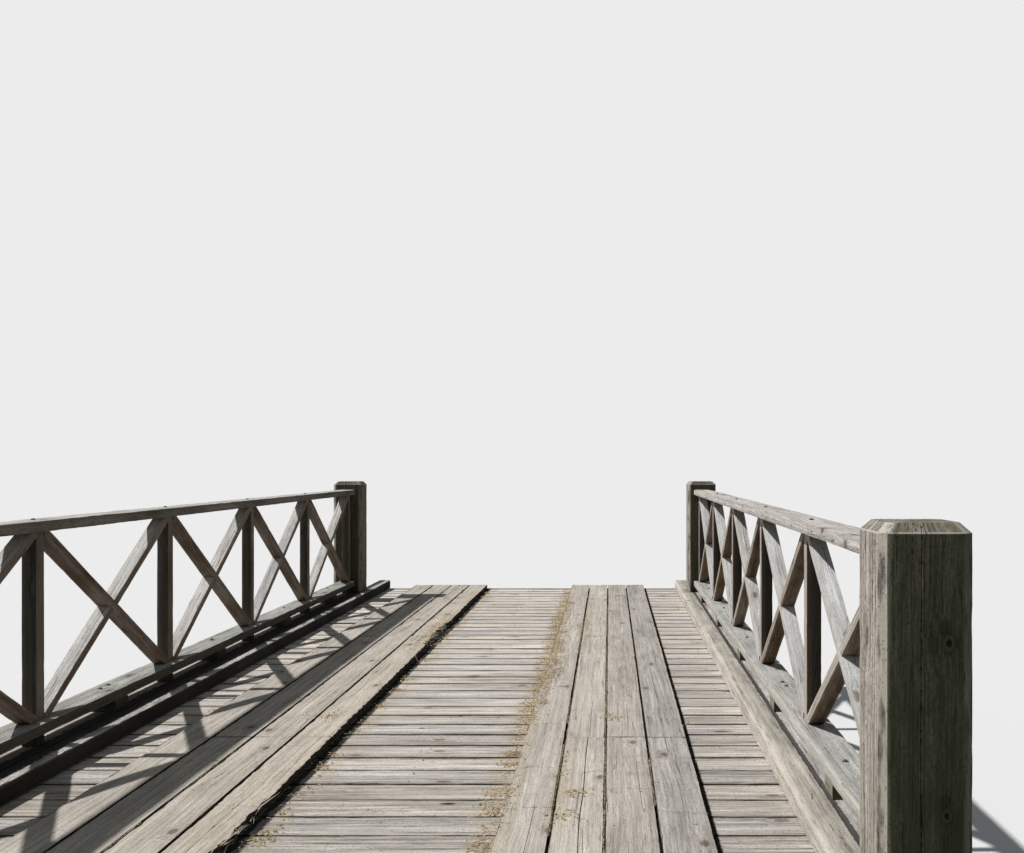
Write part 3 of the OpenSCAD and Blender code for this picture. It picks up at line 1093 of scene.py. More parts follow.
class Finish(Enum):
    """Finishes of the bridge, each with the record's slot that it belongs to."""

    POST = ("post", Weathered(
        "post_timber", srgb(192, 182, 171), srgb(112, 106, 88), ring=0.006, spread=0.04, fibre=2.0, stripes=2.6,
        stripe=75.0, streaks=1.0, checks=0.9, knots=0.2, algae_and_shade=1.0, moss=0.7, lichen=0.3, blotch=0.6, pits=0.9,
        arris=0.75, shoulder=2.116, mottle=2.2, mark_shape=(1.0, 1.0, 0.7),
        marks=((1.853, -4.099, 1.838, 0.026, 0.45), (1.865, -4.099, 1.792, 0.032, 0.45),
               (1.865, -4.099, 1.792, 0.021, -0.6), (1.865, -4.099, 1.792, 0.012, 0.97),
               (1.850, -4.099, 1.322, 0.022, 0.4), (1.858, -4.099, 1.282, 0.028, 0.45),
               (1.858, -4.099, 1.282, 0.018, -0.5), (1.858, -4.099, 1.282, 0.010, 0.95))))
    RAIL = ("rail", Weathered(
        "rail_timber", srgb(212, 207, 202), srgb(106, 102, 93), spread=0.06, stripes=1.0, stripe=60.0, blotch=0.6,
        fibre=1.0, knots=0.3, lichen=0.35, checks=0.8, clean=0.13, pits=0.5))
    LOW_RAIL = ("rail", Weathered(
        "low_rail_timber", srgb(200, 198, 192), srgb(118, 114, 103), spread=0.06, stripes=1.1, stripe=60.0,
        blotch=0.85, fibre=1.0, knots=0.5, lichen=0.6, checks=0.9, algae_and_shade=0.2, pits=0.7, arris=0.7, clean=0.16))
    UPRIGHT = ("upright", Weathered(
        "upright_timber", srgb(200, 190, 182), srgb(106, 94, 80), spread=0.14, warmth=2.0, stripes=1.3, stripe=70.0,
        blotch=0.5, fibre=0.9, knots=0.3, checks=0.6, algae_and_shade=0.3))
    BRACE = ("brace", Weathered(
        "brace_timber", srgb(218, 215, 211), srgb(112, 94, 79), spread=0.30, warmth=3.0, stripes=1.0, stripe=60.0,
        knots=0.3, checks=0.6, blotch=0.75, fibre=1.1, lichen=0.3, arris=0.6, clean=0.06, pits=0.5))
    BLOCK = ("block", Weathered("block_timber", srgb(172, 164, 148), srgb(86, 78, 62), algae_and_shade=0.5, lichen=0.3))
    # The curb's dark bands are painted shade in the joint under the bottom rail and soiling on the outer half of
    # its top.
    CURB = ("curb", Weathered(
        "curb_timber", srgb(205, 198, 188), srgb(138, 129, 116), spread=0.05, stripes=1.2, checks=0.8, blotch=0.9,
        fibre=1.0, edge_grime_and_shade=0.0, knots=0.3, lichen=0.2, pits=1.0, arris=0.6, clean=0.20,
        soil_and_shadow=((1.7220, 0.015, 0.85), (1.690, 0.060, 0.13))))
    # A darker copy of the curb finish for the left curb and sill: its dark heart colour and dark band are painted
    # shade from the left railing, with some damp darkening.
    DAMP_CURB = ("curb", Weathered(
        "damp_shaded_curb_timber", srgb(212, 204, 193), srgb(64, 59, 52), spread=0.05, stripes=1.2, checks=0.8, blotch=0.8,
        fibre=1.0, knots=0.3, algae_and_shade=0.3, pits=1.0, arris=0.8, edge_grime_and_shade=0.0, soil_and_shadow=((-1.712, 0.086, 0.92),)))
    TRACK = ("track", Weathered(
        "track_timber", srgb(201, 192, 181), srgb(162, 150, 135), spread=0.07, blotch=0.45, fibre=1.0, stripes=1.1,
        stripe=50.0, streaks=0.2, checks=0.4, knots=0.25, edge_grime_and_shade=0.2, pits=0.5, arris=0.4,
        dust=((0.45, -5.0, 4.9, 0.09), (0.66, -3.2, -1.9, 0.07), (0.66, 0.8, 3.4, 0.08), (-0.56, 0.7, 2.4, 0.10))))
    # The deck's first two dark bands are painted shadows beside the raised track edges; the third darkens the right
    # side a little.
    DECK = ("deck", Weathered(
        "deck_timber", srgb(211, 202, 192), srgb(136, 124, 110), spread=0.10, checks=0.9, fibre=1.1, blotch=0.6,
        stripes=1.9, knots=0.2, edge_grime_and_shade=0.7, streaks=0.85, pits=0.8, arris=0.6,
        dust=((0.40, -5.0, 4.9, 0.13), (-0.42, -5.0, 4.9, 0.09)),
        soil_and_shadow=((-0.490, 0.038, 0.96), (1.250, 0.024, 0.95), (1.43, 0.25, 0.11)),
        marks=((0.201, -2.843, 0.0, 0.022, 0.9), (0.04, -1.28, 0.0, 0.009, 0.9),
               (-0.126, -1.55, 0.0, 0.012, 0.9), (0.25, -1.32, 0.0, 0.008, 0.9))))
    STRINGER = ("stringer", Weathered(
        "stringer_timber", srgb(140, 128, 110), srgb(100, 88, 72), spread=0.08, algae_and_shade=0.5, blotch=0.6))
    ABUTMENT = ("abutment", Weathered(
        "abutment_timber", srgb(130, 120, 102), srgb(92, 82, 66), spread=0.12, algae_and_shade=0.8, blotch=0.6, checks=0.9))
    NAIL = ("deck", Rusted("nail_iron", srgb(70, 62, 58), srgb(72, 46, 32), 0.9))
    BOLT = ("rail", Rusted("bolt_iron", srgb(88, 90, 98), srgb(84, 60, 46), 0.35))
    STRAW = ("track", Chaff("dry_straw", srgb(226, 206, 166), srgb(150, 122, 90)))
    CRUMBS = ("track", Chaff("joint_crumbs", srgb(200, 182, 146), srgb(64, 52, 40), 0.9, 85.0))
    # Silt in the deck joints, coloured dark in part as painted shade so that silted joints still read dark.
    SILT = ("deck", Chaff("joint_silt_and_shade", srgb(134, 122, 106), srgb(48, 41, 35), 0.6))

    def __init__(self, slot: str, look: Weathered | Rusted | Chaff) -> None:
        """Keeps the slot and the look of a finish."""
        self.slot, self.look = slot, look


@dataclass
class Piece:
    """One piece of the scene, joined from the timbers that share a node.

    Attributes:
        name: name of the piece.
        finish: what it is finished in.
        nodes: nodes of the frame that it stands for.
        points, faces: what has been added so far.
        values: values of the points, by name.
        count: number of points so far.
    """

    name: str
    finish: Finish
    nodes: tuple[str, ...] = ()
    points: list = field(default_factory=list)
    faces: list = field(default_factory=list)
    values: dict = field(default_factory=lambda: {"grain": [], "lot": [], "wear": [], "run": []})
    count: int = 0

    def add(self, timber: Timber, origin: Sequence[float], axes: Sequence[Sequence[float]], seed: int,
            lot: Colour | None = None, dirt_and_shade: Mapping[Side, float] = {}) -> np.ndarray:
        """Adds one timber.

        Args:
            timber: the timber to add.
            origin: middle of its first end.
            axes: directions of its grain, width and thickness.
            seed: picks its random heights and its tone.
            lot: tone, hue and place of the heart, each from 0 to 1.
            dirt_and_shade: how far its sides are darkened by soiling and painted shade, from 0 to 1.

        Returns:
            Places of its points on the bridge.
        """
        made = timber.build(seed)
        axes = np.array(axes, float)
        points = made["points"] @ axes + np.array(origin, float)
        shares = np.array([dirt_and_shade.get(side, 0.0) for side in Side] + [0.0])
        self.put(points, made["faces"], {
            "grain": made["grain"],
            "lot": np.array(lot or np.random.default_rng(seed + TONES).uniform(0, 1, 3)),
            # The third part of the wear values is the share of painted shade and soiling on each side.
            "wear": np.stack([made["scar"], made["edge"], shares[made["side"]]], axis=1),
            "run": axes[0],
        })
        return points

    def put(self, points: np.ndarray, faces: Iterable[Sequence[int]], values: Mapping[str, np.ndarray]) -> None:
        """Adds points and faces.

        Args:
            points: places on the bridge.
            faces: numbers of the points round each face.
            values: for each name, one value for every point or one for all.
        """
        shift = self.count
        self.points.append(points)
        self.faces += [[n + shift for n in face] for face in faces]
        for name, value in values.items():
            self.values[name].append(np.broadcast_to(value, (len(points), 3)))
        self.count += len(points)

    def done(self, materials: dict[Finish, bpy.types.Material]) -> bpy.types.Object:
        """Makes the mesh, dresses it and sets it on the frame.

        Args:
            materials: materials made so far.

        Returns:
            The new object.
        """
        mesh = bpy.data.meshes.new(self.name)
        mesh.from_pydata(np.concatenate(self.points).tolist(), [], self.faces)
        for name, parts in self.values.items():
            if sum(map(len, parts)) == self.count:
                layer = mesh.attributes.new(name, "FLOAT_VECTOR", "POINT")
                layer.data.foreach_set("vector", np.concatenate(parts).astype(np.float32).ravel())
        mesh.polygons.foreach_set("use_smooth", np.ones(len(mesh.polygons), bool))
        mesh.set_sharp_from_angle(angle=math.radians(SHARP))
        if self.finish not in materials:
            materials[self.finish] = self.finish.look.material()
        mesh.materials.append(materials[self.finish])
        made = bpy.data.objects.new(self.name, mesh)
        bpy.context.scene.collection.objects.link(made)
        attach(made, "root")
        if self.nodes:
            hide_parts(*self.nodes)
        corners = sum(len(face) - 2 for face in self.faces)
        LOG.info("%s: %d points, %d triangles", self.name, self.count, corners)
        return made


def solids(node: str) -> list[Box]:
    """Finds the separate solids of a node.

    Args:
        node: name of the node in the frame.

    Returns:
        Lowest and highest corner of each one, from the near end to the far end.
    """
    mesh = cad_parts[node].data
    keys: dict[tuple[int, ...], int] = {}
    same = [keys.setdefault(tuple(round(c * 20000) for c in v.co), len(keys)) for v in mesh.vertices]
    group = list(range(len(keys)))

    def root(n: int) -> int:
        """Number that stands for a point's group.

        Args:
            n: number of the point.

        Returns:
            The group's number.
        """
        while group[n] != n:
            group[n] = group[group[n]]
            n = group[n]
        return n

    for edge in mesh.edges:
        first, second = root(same[edge.vertices[0]]), root(same[edge.vertices[1]])
        group[first] = second
    parts: dict[int, list[Vector]] = {}
    for n, vertex in zip(same, mesh.vertices):
        parts.setdefault(root(n), []).append(vertex.co)
    boxes = [(Vector(map(min, zip(*p))), Vector(map(max, zip(*p)))) for p in parts.values()]
    return sorted(boxes, key=lambda b: (round(b[0].y, 3), round(b[0].x, 3), round(b[0].z, 3)))


def between(dice: np.random.Generator, low: float, high: float) -> float:
    """One random number as a plain float."""
    return float(dice.uniform(low, high))


@dataclass(frozen=True)
class Drying:
    """A group of drying checks on one sort of timber.

    Attributes:
        sides: faces that they open on.
        count: checks on each face.
        gape: narrowest and widest mouth.
        depth: greatest depth.
        margin: part of a face's width that stays clear of them.
        reach: shortest and longest one, as shares of the timber.
        longest: length of timber that those shares are taken of at most.
        shortest: length of a check below which it runs to the end of the timber instead.
        spread: share of a face's width over which they are spread.
        mouth: a check whose middle lies nearer to the first end than this starts there.
    """

    sides: tuple[Side, ...]
    count: int
    gape: tuple[float, float] = (0.0008, 0.0025)
    depth: float = 0.010
    margin: float = 0.0
    reach: tuple[float, float] = (0.12, 0.55)
    longest: float = 2.4
    shortest: float = 0.08
    spread: float = 0.86
    mouth: float = 0.12

    def scatter(self, dice: np.random.Generator, length: float, width: float, depth: float) -> list[Split]:
        """Scatters the checks over a timber, clear of each other on a face.

        Args:
            dice: random numbers of this timber.
            length: its length.
            width: its width.
            depth: its thickness.

        Returns:
            The checks.
        """
        found: list[Split] = []
        for side in self.sides:
            span = (width if side in (Side.TOP, Side.BOTTOM) else depth) - self.margin
            for lane in np.linspace(-0.5, 0.5, self.count + 2)[1:-1] * span * self.spread:
                reach = between(dice, *self.reach) * min(length, self.longest)
                place = between(dice, -0.15, 1.0) * length
                start = max(0.0, place - reach / 2) if place > self.mouth else 0.0
                end = min(length, place + reach / 2)
                if end - start < self.shortest:
                    start, end = max(0.0, length - reach), length
                jitter = between(dice, -0.3, 0.3) * span / (self.count + 1)
                found.append(Split(side, float(lane) + jitter, start, end,
                                   between(dice, *self.gape), self.depth * between(dice, 0.4, 1.0)))
        return found


@dataclass(frozen=True)
class Stock:
    """A sort of timber, as it is sawn and as it has weathered.

    Attributes:
        run: direction of its grain.
        pattern: timber that the others are copied from.
        drying: its drying checks.
    """

    run: Run
    pattern: Timber
    drying: tuple[Drying, ...] = ()

    def cut(self, dice: np.random.Generator, low: Vector, high: Vector, **changes: object) -> Timber:
        """Cuts a timber that fills a box.

        Args:
            dice: random numbers of this timber.
            low: lowest corner of the box.
            high: highest corner.
            changes: fields that differ from the pattern.

        Returns:
            The timber.
        """
        sizes = self.run.sizes(high - low)
        splits = [split for group in self.drying for split in group.scatter(dice, *sizes)]
        return replace(self.pattern, **dict(zip(("length", "width", "depth"), sizes)), splits=splits, **changes)


class Ground:
    """Heights of the worn upper faces, for the small things that lie on them.

    Attributes:
        cell: size of the squares in which the heights are kept.
        margin: how far past its edge a face still carries things.
        worn: how far below the sawn face a worn face lies at most.
        search: how many squares away a height is looked for.
    """

    cell = 0.045
    margin = 0.005
    worn = 0.012
    search = 5

    def __init__(self) -> None:
        """Starts with no faces."""
        self.faces: list[tuple[float, Box, dict[tuple[int, int], float]]] = []

    def learn(self, points: np.ndarray, sawn: float) -> None:
        """Keeps the points of one timber that lie within the wear of its sawn face.

        Args:
            points: places on the bridge.
            sawn: height of the face before it wore down.
        """
        upper = points[points[:, 2] > sawn - self.worn]
        heights: dict[tuple[int, int], float] = {}
        for x, y, z in upper:
            key = (math.floor(x / self.cell), math.floor(y / self.cell))
            heights[key] = max(z, heights.get(key, 0.0))
        self.faces.append((sawn, (Vector(upper.min(axis=0)), Vector(upper.max(axis=0))), heights))

    def at(self, x: float, y: float) -> float:
        """Height of the highest face at a place.

        Args:
            x: place across the bridge.
            y: place along it.

        Returns:
            The height, or 0 where there is no face.
        """
        here = [face for face in self.faces
                if face[1][0].x - self.margin < x < face[1][1].x + self.margin
                and face[1][0].y - self.margin < y < face[1][1].y + self.margin]
        if not here:
            return 0.0
        heights = max(here, key=lambda face: face[0])[2]
        column, row = math.floor(x / self.cell), math.floor(y / self.cell)
        for reach in range(self.search):
            near = [heights.get((column + i, row + j), 0.0)
                    for i in range(-reach, reach + 1) for j in range(-reach, reach + 1)]
            if max(near):
                return max(near)
        return 0.0


class Maker:
    """Common ground of the sub-assemblies.

    Attributes:
        materials: materials made so far.
        ground: heights of the upper faces made so far.
        post_gap: room left round an end post.
    """

    materials: dict[Finish, bpy.types.Material] = {}
    ground = Ground()
    post_gap = 0.003

    def close(self, piece: Piece) -> bpy.types.Object:
        """Finishes a piece with the shared materials."""
        return piece.done(self.materials)

    @staticmethod
    def lay(piece: Piece, timber: Timber, run: Run, box: Box, seed: int, lot: Colour | None = None,
            dirt_and_shade: Mapping[Side, float] = {}) -> np.ndarray:
        """Lays a timber into a box.

        Args:
            piece: piece that gets it.
            timber: the timber.
            run: direction of its grain.
            box: lowest and highest corner of the box.
            seed: picks its random heights and its tone.
            lot: tone, hue and place of the heart, each from 0 to 1.
            dirt_and_shade: how far its sides are darkened by soiling and painted shade, from 0 to 1.

        Returns:
            Places of its points on the bridge.
        """
        return piece.add(timber, run.start(*box), run.value, seed, lot, dirt_and_shade)

    def row(self, node: str, finish: Finish, stock: Stock, seed: int, dirt_and_shade: Mapping[Side, float] = {}) -> int:
        """Builds a piece with one timber for each solid of a node.

        Args:
            node: name of the node.
            finish: what the piece is finished in.
            stock: sort of timber.
            seed: random number of the first timber.
            dirt_and_shade: how far the timbers' sides are darkened by soiling and painted shade, from 0 to 1.

        Returns:
            The next random number.
        """
        piece = Piece(f"{node}_timber", finish, (node,))
        for low, high in solids(node):
            timber = stock.cut(np.random.default_rng(seed), low, high)
            self.lay(piece, timber, stock.run, (low, high), seed, dirt_and_shade=dirt_and_shade)
            seed += 1
        self.close(piece)
        return seed

    def beside_post(self, end: str, side: str) -> tuple[float, float, float]:
        """Where a timber has to make room for an end post.

        Args:
            end: near or far.
            side: left or right.

        Returns:
            Start and end of the room along the bridge, and its inner face across the bridge.
        """
        low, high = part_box(f"{end}_{side}_post")
        gap = self.post_gap
        return low.y - gap, high.y + gap, high.x + gap if side == "left" else low.x - gap


# Nodes of the deck, from the near end.
DECKS = ("near_deck", "middle_deck", "far_deck")


@dataclass
class Deck(Maker):
    """Cross planks of the deck.

    Attributes:
        spacings: spacing of the stations and lines of each node, from the near end.
        stock: sort of timber.
        seed: random number of the first plank.
        ease: rounding of the planks' edges.
        worn: greatest wear of an upper face.
        cup: greatest hollow of an upper face.
        shrink: greatest loss at one edge of a plank as it dried.
        least_cut: a post that reaches less far into a plank leaves it whole.
        tone_along_bridge: how the planks' tone rises from the near end to the far end, as places along the bridge
            and the tone at each.
    """

    spacings: Sequence[tuple[float, float]] = ((0.05, 0.024), (0.06, 0.036), (0.11, 0.045))
    stock: Stock = Stock(Run.ACROSS, Timber(wander=0.006, wear=0.0022, chips=0.0045),
                         (Drying((Side.TOP,), 3, (0.001, 0.003), 0.014),))
    seed: int = 101
    ease: float = 0.0025
    worn: float = 0.003
    cup: float = 0.0025
    shrink: float = 0.006
    least_cut: float = 0.001
    tone_along_bridge: tuple[tuple[float, ...], tuple[float, ...]] = (
        (-5.0, -3.0, -1.2, 2.5, 5.0), (-0.2, 0.1, 1.0, 1.8, 2.0))

    def build(self) -> None:
        """Builds every plank of each node."""
        seed = self.seed
        for node, spacing in zip(DECKS, self.spacings):
            piece = Piece(f"{node}_planks", Finish.DECK, (node,))
            for low, high in solids(node):
                self.plank(piece, low, high, spacing, seed)
                seed += 1
            self.close(piece)

    def plank(self, piece: Piece, low: Vector, high: Vector, spacing: tuple[float, float], seed: int) -> None:
        """One plank, which has shrunk and worn in its own way.

        Args:
            piece: piece that gets it.
            low: lowest corner.
            high: highest corner.
            spacing: spacing of its stations and lines.
            seed: picks its random values.
        """
        dice = np.random.default_rng(seed)
        low.y += self.shrink * between(dice, -1, 1) if dice.random() < 0.4 else 0.0
        high.y -= self.shrink * between(dice, 0, 1) if dice.random() < 0.5 else 0.0
        ease = self.ease * between(dice, 0.5, 1.6)
        timber = self.stock.cut(
            dice, low, high, ease=(ease,) * 4, step=spacing[0], lane=spacing[1],
            settle=between(dice, 0, self.worn), cup=between(dice, 0, self.cup), notches=self.notches(low, high))
        tone = float(np.interp(low.y, *self.tone_along_bridge)) + between(dice, -0.5, 0.5)
        lot = (tone, between(dice, 0, 1), between(dice, 0, 1))
        # Both joint faces of a plank get full painted shade with soiling, so the gaps between planks read dark.
        made = self.lay(piece, timber, Run.ACROSS, (low, high), seed, lot, {Side.LEFT: 1.0, Side.RIGHT: 1.0})
        self.ground.learn(made, high.z)

    def notches(self, low: Vector, high: Vector) -> list[Notch]:
        """Cuts at both ends of a plank that meets an end post.

        Args:
            low: lowest corner of the plank.
            high: highest corner.

        Returns:
            The notches, each as the part of the plank that is left beside a post.
        """
        found: list[Notch] = []
        middle, half = (low.y + high.y) / 2, (high.z - low.z) / 2
        for end, side in ((end, side) for end in ("near", "far") for side in ("left", "right")):
            first, last, face = self.beside_post(end, side)
            if last <= low.y + self.least_cut or first >= high.y - self.least_cut:
                continue
            nearer = first - low.y > high.y - last
            kept = (low.y - middle, first - middle) if nearer else (last - middle, high.y - middle)
            span = (0.0, face - low.x) if side == "left" else (face - low.x, high.x - low.x)
            found.append(Notch(square_cut(span[0]), square_cut(span[1]), kept, (-half, half)))
        return found


@dataclass
class Tracks(Maker):
    """Raised boards that the wheels run on.

    Attributes:
        stock: sort of timber.
        step, lane: spacing of the stations and lines of the near boards.
        torn: torn stretches of the left track's right edge, as start, end and depth.
        long_splits: checks that the eye finds first, as x, start, end and gape.
        breaks: breaks across the boards, as x and y.
        lots: tone and hue of the boards of each track, from the left.
        seeds: random number of each track's first board.
        far: where the far boards begin, which need fewer points.
        split_depth: depth of the long checks.
        break_gape: narrowest and widest mouth of a break.
        break_depth: its depth.
        shard_start: where the first splinter may begin.
        shard_depth: torn stretches deeper than this still have splinters.
        shard_count: splinters in a metre of such an edge.
    """

    stock: Stock = Stock(Run.ALONG, Timber(wander=0.007, wear=0.0022, chips=0.005),
                         (Drying((Side.TOP,), 2, (0.0005, 0.0015), 0.012),))
    step: float = 0.03
    lane: float = 0.016
    torn: Sequence[tuple[float, float, float]] = (
        (-5.6, -2.85, 0.030), (-3.1, -0.9, 0.014), (-1.0, 1.0, 0.011), (0.85, 2.1, 0.055), (1.9, 4.7, 0.012))
    long_splits: Sequence[tuple[float, float, float, float]] = (
        (0.752, -4.99, -1.90, 0.0035), (0.564, -4.6, -2.95, 0.0015), (0.93, -4.99, -3.4, 0.0012),
        (1.14, -2.25, -1.90, 0.002), (0.765, -1.89, -1.0, 0.0015), (0.956, -1.89, -1.2, 0.0012),
        (-0.61, -4.99, -2.0, 0.002), (-0.80, -3.4, -1.95, 0.0012), (-0.952, -1.7, 0.2, 0.0015))
    breaks: Sequence[tuple[float, float]] = (
        (0.948, -2.52), (0.948, -2.75), (1.148, -2.68), (0.742, -2.84), (0.542, -2.45), (0.742, -2.50),
        (1.148, -1.28), (0.948, -2.26), (0.542, -1.62), (0.742, -1.30), (1.148, -2.27), (0.948, -0.17),
        (0.742, -0.77), (0.742, 0.84), (0.742, 1.24), (1.148, 1.10), (0.542, -3.02), (1.148, -3.06),
        (-0.60, -2.05), (-0.60, -2.50), (-0.81, -1.45), (-0.60, -3.0), (-0.81, -0.6), (-1.0, -2.34))
    lots: Mapping[str, tuple[tuple[float, float], ...]] = field(default_factory=lambda: {
        "left_track": ((0.5, 0.7), (0.4, 0.7), (0.7, 0.9), (0.9, 1.3)),
        "right_track": ((0.9, 0.6), (1.2, 0.7), (0.0, 0.6), (-0.5, 0.2))})
    seeds: Mapping[str, int] = field(default_factory=lambda: {"left_track": 400, "right_track": 440})
    far: float = 1.0
    split_depth: float = 0.02
    break_gape: tuple[float, float] = (0.012, 0.018)
    break_depth: float = 0.006
    shard_start: float = -4.77
    shard_depth: float = 0.02
    shard_count: int = 40

    def build(self) -> None:
        """Builds the boards of both tracks."""
        for name, first in self.seeds.items():
            piece = Piece(f"{name}_boards", Finish.TRACK, (name,))
            boards = solids(name)
            inner, outer = min(low.x for low, _ in boards), max(high.x for _, high in boards)
            for index, (low, high) in enumerate(boards):
                seed = first + index
                tone, hue = self.lots[name][round((low.x - inner) / (high.x - low.x))]
                board = self.board(low, high, seed, name == "left_track" and high.x > outer - 0.01)
                # Painted shade with soiling on the board sides: full on the joints and on the faces turned away
                # from the key light, lighter on a track's left edge.
                dirt_and_shade = {Side.LEFT: 1.0, Side.RIGHT: 1.0 if low.x > inner + 0.01 else 0.3}
                made = self.lay(piece, board, Run.ALONG, (low, high), seed, (tone, hue, 0.37 * index % 1), dirt_and_shade)
                self.ground.learn(made, high.z)
            if name == "left_track":
                self.shards(piece, outer, boards[0][1].z)
            self.close(piece)

    def board(self, low: Vector, high: Vector, seed: int, splintered: bool) -> Timber:
        """One board, whose right edge faces left on the bridge because its width runs that way.

        Args:
            low: lowest corner.
            high: highest corner.
            seed: picks its random values.
            splintered: whether its outer edge is torn.

        Returns:
            The board.
        """
        dice = np.random.default_rng(seed)
        board = self.stock.cut(dice, low, high)
        centre, half = (low.x + high.x) / 2, board.width / 2
        own = [Split(Side.TOP, centre - x, max(0.0, start - low.y), min(board.length, end - low.y), gape,
                     self.split_depth)
               for x, start, end, gape in self.long_splits
               if low.x < x < high.x and end > low.y + 0.1 and start < high.y - 0.1]
        board.splits = own + [s for s in board.splits if all(abs(s.place - o.place) > 0.012 for o in own)]
        board.cracks = [Crack(y - low.y, -half, half, between(dice, *self.break_gape), self.break_depth)
                        for x, y in self.breaks if low.x < x < high.x and low.y + 0.05 < y < high.y - 0.05]
        board.ease = (between(dice, 0.0015, 0.003),) * 4
        board.settle, board.cup = between(dice, 0, 0.002), between(dice, 0, 0.002)
        far = low.y > self.far
        board.step = self.step * (0.66 if splintered and high.y < 3 else 2.2 if far else 1)
        board.lane = self.lane * (1.6 if far else 1)
        if splintered:
            board.torn = [(a - low.y, b - low.y, d) for a, b, d in self.torn if a < high.y and b > low.y]
        return board

    def shards(self, piece: Piece, edge: float, top: float) -> None:
        """Splinters that still hang on at the torn edge.

        Args:
            piece: piece that gets them.
            edge: place of the sound edge across the bridge.
            top: height of the boards.
        """
        dice = np.random.default_rng(480)
        for start, end, depth in self.torn:
            if depth < self.shard_depth:
                continue
            start = max(start, self.shard_start)
            for _ in range(round((end - start) * self.shard_count)):
                sliver, axes = self.shard(dice)
                spot = (edge - depth * between(dice, 0.3, 0.9), between(dice, start, end - 0.1),
                        top - between(dice, 0.004, 0.028))
                piece.add(sliver, spot, axes, 500 + len(piece.points), (between(dice, 0.3, 1.0), 0.6, 0.5))

    @staticmethod
    def shard(dice: np.random.Generator) -> tuple[Timber, Sequence[Sequence[float]]]:
        """One splinter and the way it points.

        Args:
            dice: random numbers.

        Returns:
            The splinter, and the directions of its grain, width and thickness.
        """
        length, lean, tilt = between(dice, 0.05, 0.19), between(dice, -0.05, 0.30), between(dice, -0.05, 0.16)
        along = np.array((math.sin(lean), math.cos(lean) * (1 if dice.random() < 0.5 else -1), tilt))
        along /= np.linalg.norm(along)
        wide = np.cross((0.0, 0.0, 1.0), along)
        wide /= np.linalg.norm(wide)
        size = between(dice, 0.003, 0.008)
        sliver = Timber(length, size, size * 0.6, (0.0006,) * 4, step=length / 4, lane=0.01, wander=0.0,
                        wear=0.0004, chips=0.0004, tip=(length * 0.8, size * 0.46))
        return sliver, (tuple(along), tuple(wide), tuple(np.cross(along, wide)))


# What both rails of a railing have in common.
RAIL_TIMBER = Timber(ease=(0.005,) * 4, step=0.03, lane=0.016, wander=0.005, wear=0.0014, chips=0.004)
EDGE_CHECKS = Drying((Side.LEFT, Side.RIGHT), 1)


